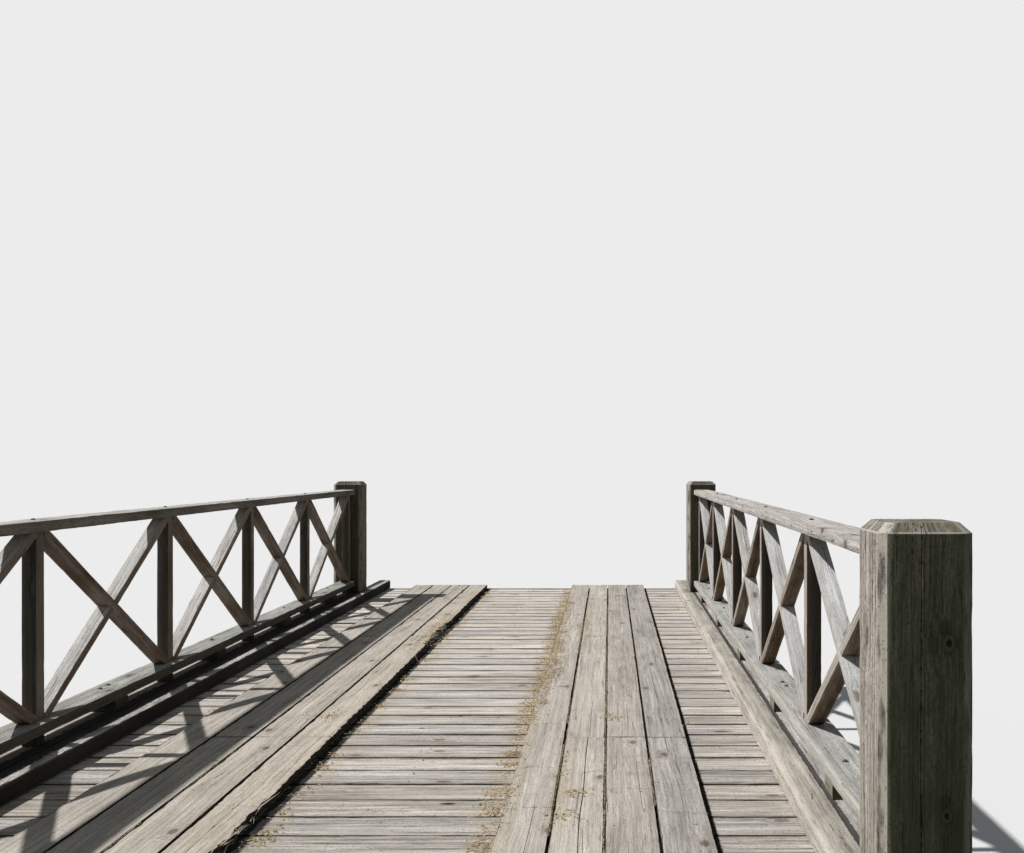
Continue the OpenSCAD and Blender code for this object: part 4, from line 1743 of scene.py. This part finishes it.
@dataclass
class Railing(Maker):
    """Railing of one side: rails, uprights, crossed braces, blocks, feet and sill.

    Attributes:
        side: left or right.
        seed: first random number of this side.
        bays: number of bays.
        lap_gap: clearance round a half-lap.
        brace_depth: size of a brace in the plane of the railing.
        brace_ease: rounding of its edges.
        brace_checks: its drying checks.
        top_rail, bottom_rail, upright, block, sill: sorts of timber.
        dirt_and_shade: how far soiling and painted shade darken the shaded faces of each sort of timber.
    """

    side: str
    seed: int
    bays: int = 5
    lap_gap: float = 0.0003
    brace_depth: float = 0.048
    brace_ease: float = 0.003
    brace_checks: Drying = Drying((Side.TOP, Side.BOTTOM, Side.RIGHT, Side.LEFT), 1)
    top_rail: Stock = Stock(Run.ALONG, RAIL_TIMBER, (Drying((Side.TOP,), 3, (0.001, 0.003), 0.012), EDGE_CHECKS))
    bottom_rail: Stock = Stock(Run.ALONG, RAIL_TIMBER, (Drying((Side.TOP,), 5, (0.001, 0.003), 0.012), EDGE_CHECKS))
    upright: Stock = Stock(Run.UP, Timber(step=0.035, lane=0.02, wander=0.004),
                           (Drying((Side.BOTTOM, Side.LEFT, Side.RIGHT), 1),))
    block: Stock = Stock(Run.ALONG, Timber(step=0.03, lane=0.02), (EDGE_CHECKS,))
    sill: Stock = Stock(Run.ALONG, Timber(ease=(0.004, 0.002, 0.002, 0.004), lane=0.025, wander=0.004),
                        (Drying((Side.TOP,), 3), Drying((Side.LEFT, Side.RIGHT), 2)))
    # Painted shade with soiling where the key light does not reach: the inner faces of the left railing, the
    # undersides of the bottom rails and the near faces of the uprights, and a little on the bottom rails' tops.
    dirt_and_shade: Mapping[str, Mapping[Side, float]] = field(default_factory=lambda: {
        "left_bottom_rail": {Side.TOP: 0.18, Side.LEFT: 0.66, Side.BOTTOM: 0.6},
        "right_bottom_rail": {Side.TOP: 0.08, Side.BOTTOM: 0.6},
        "left_uprights": {Side.BOTTOM: 0.66}, "right_uprights": {Side.BOTTOM: 0.78},
        "left_rail_blocks": {Side.LEFT: 0.6}, "left_rail_sill": {Side.LEFT: 0.8}})

    def build(self) -> None:
        """Builds every piece of this railing."""
        self.timbers("top_rail", Finish.RAIL, self.top_rail, 0)
        self.timbers("bottom_rail", Finish.LOW_RAIL, self.bottom_rail, 10)
        self.timbers("uprights", Finish.UPRIGHT, self.upright, 20)
        for bay in range(1, self.bays + 1):
            self.braces(bay)
        self.timbers("rail_blocks", Finish.BLOCK, self.block, 70)
        self.timbers("rail_sill", Finish.DAMP_CURB if self.side == "left" else Finish.CURB, self.sill, 90)

    def timbers(self, name: str, finish: Finish, stock: Stock, shift: int) -> None:
        """The timbers of one node of this side.

        Args:
            name: the node's name without the side.
            finish: what they are finished in.
            stock: sort of timber.
            shift: how far their random numbers lie above the first one of this side.
        """
        node = f"{self.side}_{name}"
        self.row(node, finish, stock, self.seed + shift, self.dirt_and_shade.get(node, {}))

    def braces(self, bay: int) -> None:
        """The crossed pair of braces of one bay, half-lapped where they meet.

        Args:
            bay: number of the bay from the near end.
        """
        node = f"{self.side}_brace_{bay}"
        low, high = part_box(node)
        size = high - low
        centre = [(a + b) / 2 for a, b in zip(low, high)]
        angle = math.atan2(size.z, size.y)
        sine, cosine = math.sin(angle), math.cos(angle)
        piece = Piece(f"{node}_timber", Finish.BRACE, (node,))
        for index, slope in enumerate((1, -1)):
            axes = ((0, cosine, slope * sine), (0, -slope * sine, cosine), (1, 0, 0))
            seed = self.seed + 40 + 2 * bay + index
            dice = np.random.default_rng(seed + TONES)
            tone, hue = (0.45, 0.5) if slope > 0 else (0.4, 0.75) if self.side == "left" else (-0.2, 1.0)
            lot = (tone + between(dice, -0.15, 0.15), hue + between(dice, -0.15, 0.15), between(dice, 0, 1))
            piece.add(self.brace(size, angle, slope, seed), centre, axes, seed, lot)
        self.close(piece)

    def brace(self, size: Vector, angle: float, slope: int, seed: int) -> Timber:
        """One brace, from corner to corner of its bay.

        Args:
            size: size of the bay's opening.
            angle: slope of the opening's diagonal.
            slope: 1 if it rises away from the near end, and otherwise -1.
            seed: picks its random values.

        Returns:
            The brace, with half of its thickness cut away at the crossing.
        """
        sine, cosine = math.sin(angle), math.cos(angle)
        double, cross = math.sin(2 * angle), slope * math.cos(2 * angle)
        reach = self.brace_depth / 2 + self.lap_gap
        half = size.x / 2

        def finish(v: np.ndarray) -> np.ndarray:
            """Where the mitred end lies for each place across."""
            return np.minimum((size.y / 2 + slope * v * sine) / cosine, (size.z / 2 - slope * v * cosine) / sine)

        whole = 2 * float(finish(np.zeros(1))[0])
        lap = Notch(lambda v: (-reach - v * cross) / double, lambda v: (reach - v * cross) / double,
                    (-self.brace_depth / 2, self.brace_depth / 2),
                    (-half, -self.lap_gap / 2) if slope > 0 else (self.lap_gap / 2, half))
        found = self.brace_checks.scatter(np.random.default_rng(seed), whole, self.brace_depth, size.x)
        loose = [Split(s.side, math.copysign(max(abs(s.place), 0.012), s.place), s.start - whole / 2 + 0.06,
                       s.end - whole / 2 - 0.06, s.gape, s.depth) for s in found if s.end - s.start > 0.3]
        return Timber(whole, self.brace_depth, size.x, (self.brace_ease,) * 4, step=0.035,
                      lane=self.brace_depth / 2 - self.brace_ease, wander=0.0, ends=End.MITRE,
                      start_cut=lambda v: -finish(-v), end_cut=finish, notches=[lap], splits=loose)


@dataclass
class Curbs(Maker):
    """Curb timbers along the deck, cut round the end posts.

    Attributes:
        stock: sort of timber.
        bevel: worn upper edge that looks at the deck.
        seeds: random number of each side.
    """

    stock: Stock = Stock(
        Run.ALONG, Timber(corner=0.36, step=0.03, lane=0.016, wander=0.004, wear=0.002, chips=0.007),
        (Drying((Side.TOP,), 3, (0.001, 0.003), margin=0.03), Drying((Side.LEFT, Side.RIGHT), 2, margin=0.02)))
    bevel: float = 0.010
    seeds: Mapping[str, int] = field(default_factory=lambda: {"left": 600, "right": 620})

    def build(self) -> None:
        """Builds both curbs."""
        for side, seed in self.seeds.items():
            node, left = f"{side}_curb", side == "left"
            low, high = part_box(node)
            ease = (0.003, 0.002, 0.002, self.bevel) if left else (self.bevel, 0.002, 0.002, 0.003)
            dice = np.random.default_rng(seed)
            timber = self.stock.cut(dice, low, high, ease=ease, notches=self.notches(side, low, high))
            piece = Piece(f"{node}_timber", Finish.DAMP_CURB if left else Finish.CURB, (node,))
            # Painted shade with soiling on the left curb's inner face, which the key light does not reach, and a
            # little soiling on the right curb's top.
            dirt_and_shade = {Side.LEFT: 0.85} if left else {Side.TOP: 0.06}
            self.lay(piece, timber, Run.ALONG, (low, high), seed, dirt_and_shade=dirt_and_shade)
            self.close(piece)

    def notches(self, side: str, low: Vector, high: Vector) -> list[Notch]:
        """Cuts round the two posts of a side.

        Args:
            side: left or right.
            low: lowest corner of the curb.
            high: highest corner.

        Returns:
            The notches.
        """
        found: list[Notch] = []
        centre, half = (low.x + high.x) / 2, (high - low).z / 2
        for end in ("near", "far"):
            first, last, face = self.beside_post(end, side)
            kept = (centre - high.x, centre - face) if side == "left" else (centre - face, centre - low.x)
            found.append(Notch(square_cut(first - low.y), square_cut(last - low.y), kept, (-half, half)))
        return found


@dataclass
class Posts(Maker):
    """Square end posts with chamfered edges and a bevelled top.

    Attributes:
        stock: sort of timber.
        seed: random number of the first post.
        chamfer: cut down the four upright edges.
        bevel: cut round the top.
        front_splits: checks of the near face, as place across, lowest point and gape.
        front_depth: depth of those checks.
        lot: tone, hue and place of the heart.
    """

    stock: Stock = Stock(
        Run.UP, Timber(corner=0.5, step=0.035, lane=0.02, wear=0.0014, chips=0.004, ends=End.RINGS),
        (Drying((Side.TOP, Side.LEFT, Side.RIGHT), 3, (0.0012, 0.0035), 0.02, 0.06),))
    seed: int = 700
    chamfer: float = 0.025
    bevel: float = 0.031
    front_splits: Sequence[tuple[float, float, float]] = (
        (-0.016, 0.0, 0.0035), (-0.091, 1.95, 0.002), (-0.045, 1.86, 0.002))
    front_depth: float = 0.03
    lot: Colour = (0.5, 0.4, 0.1)

    def build(self) -> None:
        """Builds the four posts."""
        nodes = ("near_left_post", "near_right_post", "far_left_post", "far_right_post")
        for seed, node in enumerate(nodes, self.seed):
            low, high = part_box(node)
            post = self.stock.cut(np.random.default_rng(seed), low, high, ease=(self.chamfer,) * 4,
                                  tip=(self.bevel, self.bevel))
            post.splits = [Split(Side.BOTTOM, place, start, post.length, gape, self.front_depth)
                           for place, start, gape in self.front_splits] + post.splits
            piece = Piece(f"{node}_timber", Finish.POST, (node,))
            # Painted shade with soiling on the near faces of the far posts.
            dirt_and_shade = {Side.BOTTOM: 0.4} if node.startswith("far") else {}
            self.lay(piece, post, Run.UP, (low, high), seed, self.lot, dirt_and_shade)
            self.close(piece)


# What all the hidden timbers have in common.
CRIB_TIMBER = Timber(ease=(0.006,) * 4, step=0.09, lane=0.05, wander=0.006, wear=0.002, chips=0.007)
CRIB_CHECKS = Drying((Side.LEFT, Side.RIGHT, Side.TOP), 2, (0.0015, 0.005), 0.02)


@dataclass
class Substructure(Maker):
    """Stringers and the timber cribs that carry them.

    Attributes:
        stringers: nodes of the stringers.
        walls: nodes of the walls, whose timbers run across the bridge.
        ties: nodes of the timbers that run along it.
        along, across: sorts of timber.
        seed: random number of the first timber.
    """

    stringers: Sequence[str] = ("left_outer_stringer", "left_inner_stringer", "middle_stringer",
                                "right_inner_stringer", "right_outer_stringer")
    walls: Sequence[str] = ("near_front_wall", "near_back_wall", "far_front_wall", "far_back_wall")
    ties: Sequence[str] = ("near_side_timbers", "far_side_timbers")
    along: Stock = Stock(Run.ALONG, CRIB_TIMBER, (CRIB_CHECKS,))
    across: Stock = Stock(Run.ACROSS, CRIB_TIMBER, (CRIB_CHECKS,))
    seed: int = 801

    def build(self) -> None:
        """Builds every hidden timber."""
        seed = self.seed
        for nodes, finish, stock in ((self.stringers, Finish.STRINGER, self.along),
                                     (self.walls, Finish.ABUTMENT, self.across),
                                     (self.ties, Finish.ABUTMENT, self.along)):
            for node in nodes:
                seed = self.row(node, finish, stock, seed)


@dataclass(frozen=True)
class Head:
    """Head of a nail or a bolt, turned about its own axis.

    Attributes:
        profile: radius and height of each ring, from the lowest one up.
        sides: number of flats round it.
    """

    profile: tuple[tuple[float, float], ...]
    sides: int

    def drive(self, piece: Piece, place: Sequence[float], dice: np.random.Generator,
              out: Side = Side.TOP) -> None:
        """Sets one head into a piece.

        Args:
            piece: piece that gets it.
            place: middle of the head on the face.
            dice: random numbers, for its tone.
            out: face that it is driven into, which is the top, right or left one.
        """
        turns = np.arange(self.sides) * (2 * math.pi / self.sides)
        rings = [np.stack([r * np.cos(turns), r * np.sin(turns), np.full(self.sides, h)], axis=1)
                 for r, h in self.profile]
        points = np.concatenate(rings)
        if out is not Side.TOP:
            points = points[:, [2, 1, 0]] * ((1, 1, -1) if out is Side.RIGHT else (-1, 1, 1))
        faces: list[list[int]] = [list(range(self.sides))[::-1]]
        for base in range(0, (len(rings) - 1) * self.sides, self.sides):
            for j in range(self.sides):
                n = (j + 1) % self.sides
                faces.append([base + j, base + n, base + self.sides + n, base + self.sides + j])
        faces.append([(len(rings) - 1) * self.sides + j for j in range(self.sides)])
        piece.put(points + np.array(place), faces, {"lot": np.array((between(dice, 0, 1),) * 3)})


@dataclass
class Fixings(Maker):
    """Nails of the deck and tracks, and bolts of the rails.

    Attributes:
        nail: head of a nail.
        bolt: head of a bolt on its washer.
        sink: how deep a head is driven in.
        seeds: random numbers of the deck's nails, the tracks' nails and the bolts.
        plank_inset: distance of a nail from the edge of its plank.
        row_inset: distance of the first row from the end of its board.
        row_pitch: spacing of the nail rows in the tracks.
        shares: places of the two nails in a board, as shares of its width.
        low_bolts: bolts of each bottom rail, as a bay and the distance from its middle.
        low_shift: how far they stand to the right of the middle of each bottom rail.
        side_nails: nails in the top rail's edge, as distances from an upright.
        side_drop: how far they lie below its upper face.
    """

    nail: Head = Head(((0.0050, -0.002), (0.0050, 0.0004), (0.0034, 0.0011)), 7)
    bolt: Head = Head(
        ((0.0130, -0.004), (0.0130, 0.0018), (0.0092, 0.0022), (0.0088, 0.0050), (0.0060, 0.0074)), 12)
    sink: float = 0.0012
    seeds: tuple[int, int, int] = (900, 901, 902)
    plank_inset: float = 0.05
    row_inset: float = 0.035
    row_pitch: float = 0.44
    shares: tuple[float, float] = (0.22, 0.78)
    low_bolts: Mapping[str, tuple[tuple[int, float], ...]] = field(default_factory=lambda: {
        "left": ((0, 0.05), (1, -0.045), (1, 0.055), (2, 0.08), (3, 0.21), (4, 0.10)),
        "right": ((0, 0.05), (1, 0.026), (1, 0.134), (2, 0.163), (3, 0.197), (4, 0.12))})
    low_shift: Mapping[str, float] = field(default_factory=lambda: {"left": -0.020, "right": 0.002})
    side_nails: Sequence[float] = (-0.42, 0.09)
    side_drop: float = 0.030

    def build(self) -> None:
        """Builds the nails and the bolts."""
        self.deck_nails()
        self.track_nails()
        for side, out in (("left", Side.RIGHT), ("right", Side.LEFT)):
            self.bolts(side, out)

    def deck_nails(self) -> None:
        """Two nails where a plank crosses a stringer that can be seen."""
        piece = Piece("deck_nails", Finish.NAIL)
        dice = np.random.default_rng(self.seeds[0])
        seen = ("left_outer", "middle", "right_outer")
        lines = [sum(corner.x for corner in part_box(f"{name}_stringer")) / 2 for name in seen]
        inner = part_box("left_curb")[1].x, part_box("right_curb")[0].x
        for low, high in (box for node in DECKS for box in solids(node)):
            for line in lines:
                for y in (low.y + self.plank_inset, high.y - self.plank_inset):
                    x = line + between(dice, -0.045, 0.045)
                    x = min(max(x, inner[0] + 0.03), inner[1] - 0.03)
                    y += between(dice, -0.010, 0.010)
                    self.nail.drive(piece, (x, y, self.ground.at(x, y) - self.sink), dice)
        self.close(piece)

    def track_nails(self) -> None:
        """Two nails to a row in every board of the tracks."""
        piece = Piece("track_nails", Finish.NAIL)
        dice = np.random.default_rng(self.seeds[1])
        for low, high in solids("left_track") + solids("right_track"):
            width, length = high.x - low.x, high.y - low.y
            rows = max(2, round(length / self.row_pitch))
            for row in range(rows + 1):
                for share in self.shares:
                    x = low.x + width * share + between(dice, -0.012, 0.012)
                    y = low.y + self.row_inset + (length - 2 * self.row_inset) * row / rows
                    y += between(dice, -0.02, 0.02)
                    y = min(max(y, low.y + 0.02), high.y - 0.02)
                    self.nail.drive(piece, (x, y, self.ground.at(x, y) - self.sink), dice)
        self.close(piece)

    def bolts(self, side: str, out: Side) -> None:
        """Bolts and edge nails of one railing.

        Args:
            side: left or right.
            out: face of its rails that looks at the walkway.
        """
        piece = Piece(f"{side}_rail_bolts", Finish.BOLT)
        dice = np.random.default_rng(self.seeds[2])
        low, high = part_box(f"{side}_bottom_rail")
        line = (low.x + high.x) / 2
        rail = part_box(f"{side}_top_rail")
        top = rail[1].z
        posts = [(a.y + b.y) / 2 for a, b in solids(f"{side}_uprights")]
        for bay, shift in self.low_bolts[side]:
            x = line + self.low_shift[side] + between(dice, -0.003, 0.003)
            self.bolt.drive(piece, (x, (posts[bay] + posts[bay + 1]) / 2 + shift, high.z - self.sink), dice)
        for y in posts:
            spot = (line + between(dice, -0.006, 0.010), y + between(dice, -0.01, 0.01), top - self.sink)
            self.bolt.drive(piece, spot, dice)
        face = rail[1 if out is Side.RIGHT else 0].x
        for y in posts[1:-1]:
            for shift in self.side_nails:
                self.nail.drive(piece, (face, y + shift, top - self.side_drop), dice, out)
        self.close(piece)


@dataclass
class Litter(Maker):
    """Dry straw, crumbs and silt that lie along the tracks and in the joints.

    Attributes:
        patches: heaps of straw, each as x, y, spread across, spread along and number of stalks.
        rows: rows of small heaps, each as x, start, end, spacing, spread across and number of stalks.
        fills: joints between track boards that are full of crumbs, each as x, start and end.
        silted: share of the deck's joints that are silted up.
        joint: width of what fills a joint.
        thick: thickness of it.
        end: how far the straw lies from the middle of the bridge at most.
    """

    patches: Sequence[tuple[float, float, float, float, int]] = (
        (0.42, -1.45, 0.04, 0.22, 150), (0.40, -2.80, 0.045, 0.10, 80), (0.45, -0.45, 0.045, 0.35, 380),
        (0.47, 0.55, 0.045, 0.5, 520), (0.45, 2.1, 0.045, 0.8, 560), (0.64, 1.75, 0.035, 0.30, 140),
        (0.87, -1.47, 0.030, 0.035, 45), (0.73, -2.83, 0.055, 0.030, 60), (0.70, -3.12, 0.045, 0.040, 34),
        (0.66, -2.3, 0.012, 0.25, 26), (-0.56, 1.45, 0.05, 0.40, 220), (-0.63, -1.45, 0.035, 0.05, 50),
        (-1.33, -1.15, 0.03, 0.12, 40), (1.27, -0.2, 0.015, 1.6, 60))
    rows: Sequence[tuple[float, float, float, float, float, int]] = (
        (0.405, -4.9, 4.9, 0.22, 0.028, 46), (-0.425, -4.9, -2.6, 0.22, 0.030, 40),
        (-0.455, -2.4, 4.8, 0.35, 0.018, 26), (0.480, -1.2, 3.6, 0.45, 0.020, 30))
    fills: Sequence[tuple[float, float, float]] = (
        (0.8425, -4.98, -1.91), (0.8425, -1.89, 0.9), (0.8425, 1.3, 3.1), (0.6415, -4.98, -3.9),
        (0.6415, -3.35, -2.05), (0.6415, -1.6, -1.0), (0.6415, 0.5, 1.9), (1.0435, -3.0, -2.3),
        (-0.9040, -4.98, -3.2), (-0.9040, -2.9, -2.0))
    silted: float = 0.35
    joint: float = 0.0062
    thick: float = 0.016
    end: float = 4.95

    def build(self) -> None:
        """Builds the straw, then what lies in the joints."""
        piece = Piece("dry_straw", Finish.STRAW)
        dice = np.random.default_rng(950)
        heaps = list(self.patches)
        for x, start, end, pitch, across, count in self.rows:
            heaps += [(x, y + between(dice, -0.3, 0.3) * pitch, across, between(dice, 0.02, 0.07),
                       round(count * between(dice, 0.2, 1.7))) for y in np.arange(start, end, pitch)]
        for x, y, across, along, count in heaps:
            for _ in range(count):
                self.stalk(piece, dice, x + float(dice.normal(0, across)), y + float(dice.normal(0, along)))
        self.close(piece)
        self.crumbs()
        self.silt()

    def strip(self, length: float, width: float, step: float, lane: float) -> Timber:
        """What fills a joint, shaped like a thin and very worn timber.

        Args:
            length: its length.
            width: its width.
            step: spacing of its stations.
            lane: spacing of its lines.

        Returns:
            The strip.
        """
        return Timber(length, width, self.thick, (0.001,) * 4, step=step, lane=lane, wander=0.0, wear=0.004,
                      chips=0.001)

    def crumbs(self) -> None:
        """Crumbs in the joints between track boards."""
        piece = Piece("joint_crumbs", Finish.CRUMBS)
        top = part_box("right_track")[1].z
        for seed, (x, start, end) in enumerate(self.fills, 960):
            strip = self.strip(end - start, self.joint * 1.35, 0.016, 0.0021)
            piece.add(strip, (x, start, top - self.thick / 2), Run.ALONG.value, seed, (0.6, 0.8, 0.5))
        self.close(piece)

    def silt(self) -> None:
        """Silt in some of the joints between planks."""
        piece = Piece("plank_silt", Finish.SILT)
        dice = np.random.default_rng(970)
        left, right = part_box("left_curb")[1].x + 0.004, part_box("right_curb")[0].x - 0.004
        for planks in map(solids, DECKS):
            for (_, edge), (after, _) in zip(planks, planks[1:]):
                if dice.random() > self.silted:
                    continue
                spot = (left, (edge.y + after.y) / 2, edge.z - between(dice, 0.001, 0.005) - self.thick / 2)
                lot = (between(dice, 0.2, 0.9), 0.3, 0.5)
                strip = self.strip(right - left, self.joint, 0.10, 0.0031)
                piece.add(strip, spot, Run.ACROSS.value, 980 + len(piece.points), lot)
        self.close(piece)

    def stalk(self, piece: Piece, dice: np.random.Generator, x: float, y: float) -> None:
        """One stalk, bent in the middle and laid on what is under it.

        Args:
            piece: piece that gets it.
            dice: random numbers.
            x: its middle across the bridge.
            y: its middle along the bridge.
        """
        crumb = dice.random() < 0.55
        half = between(dice, 0.003, 0.009) if crumb else between(dice, 0.006, 0.024)
        turn, bow = between(dice, 0, math.pi), between(dice, -0.35, 0.35)
        y = min(max(y, -self.end), self.end)
        size = between(dice, 0.0016, 0.0040) if crumb else between(dice, 0.0006, 0.0014)
        lift = abs(float(dice.normal(0, 0.0020)))
        rings = []
        for share in (-1, 0, 1):
            px = x + half * share * math.cos(turn + bow * share)
            py = y + half * share * math.sin(turn + bow * share)
            level = self.ground.at(px, py)
            if not level:
                return
            rings.append(np.array((px, py, level + size * 0.6 + lift * (1.6 if share == 0 else 0.6))))
        rings[1][2] = max(rings[1][2], (rings[0][2] + rings[2][2]) / 2)
        out = np.array((-math.sin(turn), math.cos(turn), 0.0)) * size
        up = np.array((0.0, 0.0, size * 0.8))
        points = np.concatenate([[p - out, p + out, p + up] for p in rings])
        faces = [[0, 1, 2], [8, 7, 6]]
        for k in (0, 3):
            faces += [[k + 1, k, k + 3, k + 4], [k + 2, k + 1, k + 4, k + 5], [k, k + 2, k + 5, k + 3]]
        piece.put(points, faces, {"lot": np.array((between(dice, 0.15, 1), between(dice, 0, 1), 0.5))})


@dataclass
class Studio:
    """Camera, lamps, floor and backdrop.

    Attributes:
        eye: place of the camera.
        lens: focal length for a sensor 36 mm wide.
        shift: sideways and upward shift of the picture.
        sun: direction that the light travels.
        sun_power: strength of the lamp.
        sky: strength of the light from all round.
        tint: colour of the light from all round.
        spread: angle of the sun's disc in degrees.
        backdrop: grey of the background.
        dim: colour of the floor as the bridge sees it.
        reach: half of the floor's size.
    """

    eye: tuple[float, float, float] = (0.862, -7.344, 2.320)
    lens: float = 38.67
    shift: tuple[float, float] = (-0.0952, 0.0371)
    sun: tuple[float, float, float] = (0.724, 0.02, -1.0)
    sun_power: float = 3.04
    sky: float = 0.17
    tint: Colour = (0.84, 0.93, 1.0)
    spread: float = 1.2
    backdrop: float = 0.84
    dim: Colour = (0.26, 0.26, 0.25)
    reach: float = 900.0

    def build(self) -> None:
        """Sets up the view and the light."""
        scene = bpy.context.scene
        camera = bpy.data.objects.new("camera", bpy.data.cameras.new("camera"))
        scene.collection.objects.link(camera)
        camera.location, camera.rotation_euler = self.eye, (math.pi / 2, 0.0, 0.0)
        camera.data.lens, camera.data.sensor_width = self.lens, 36.0
        camera.data.shift_x, camera.data.shift_y = self.shift
        scene.camera = camera
        scene.view_settings.view_transform = "Standard"
        lamp = bpy.data.lights.new("key_light", "SUN")
        lamp.energy, lamp.angle = self.sun_power, math.radians(self.spread)
        key = bpy.data.objects.new("key_light", lamp)
        key.rotation_euler = Vector(self.sun).to_track_quat("-Z", "Y").to_euler()
        scene.collection.objects.link(key)
        self.world()
        self.floor()

    def world(self) -> None:
        """Soft light from all round, in front of a plain pale backdrop."""
        world = bpy.data.worlds.new("studio")
        world.use_nodes = True
        bpy.context.scene.world = world
        net = Net(world.node_tree)
        seen = net.node("ShaderNodeLightPath", {}, {}, "Is Camera Ray")
        light = net.node("ShaderNodeBackground", {}, {"Color": (*self.tint, 1.0), "Strength": self.sky})
        plain = net.node("ShaderNodeBackground", {}, {"Color": (self.backdrop,) * 3 + (1.0,)})
        net.finish(net.node("ShaderNodeMixShader", {}, {0: seen, 1: light, 2: plain}), "ShaderNodeOutputWorld")

    def floor(self) -> None:
        """A wide floor that keeps the bridge's shadow, and looks like the backdrop where it is lit."""
        mesh = bpy.data.meshes.new("floor")
        far = self.reach
        mesh.from_pydata([(-far, -far, 0), (far, -far, 0), (far, far, 0), (-far, far, 0)], [], [(0, 1, 2, 3)])
        material, net = Net.paint("floor_paint")
        seen = net.node("ShaderNodeLightPath", {}, {}, "Is Camera Ray")
        direct = self.sun_power * -Vector(self.sun).normalized().z / math.pi
        lit = tuple(self.backdrop / (direct + self.sky * part) for part in self.tint)
        pale = net.node("ShaderNodeBsdfDiffuse", {}, {"Color": (*lit, 1.0)})
        dim = net.node("ShaderNodeBsdfDiffuse", {}, {"Color": (*self.dim, 1.0)})
        net.finish(net.node("ShaderNodeMixShader", {}, {0: seen, 1: dim, 2: pale}))
        mesh.materials.append(material)
        floor = bpy.data.objects.new("floor", mesh)
        bpy.context.scene.collection.objects.link(floor)


def main() -> None:
    """Builds the bridge from the deck up, then the stage."""
    logging.basicConfig(level=logging.INFO, format="%(message)s")
    makers = (Deck(), Tracks(), Curbs(), Railing("left", 1000), Railing("right", 1200), Posts(),
              Substructure(), Fixings(), Litter())
    for maker in makers:
        maker.build()
    Studio().build()


if __name__ == "__main__":
    main()
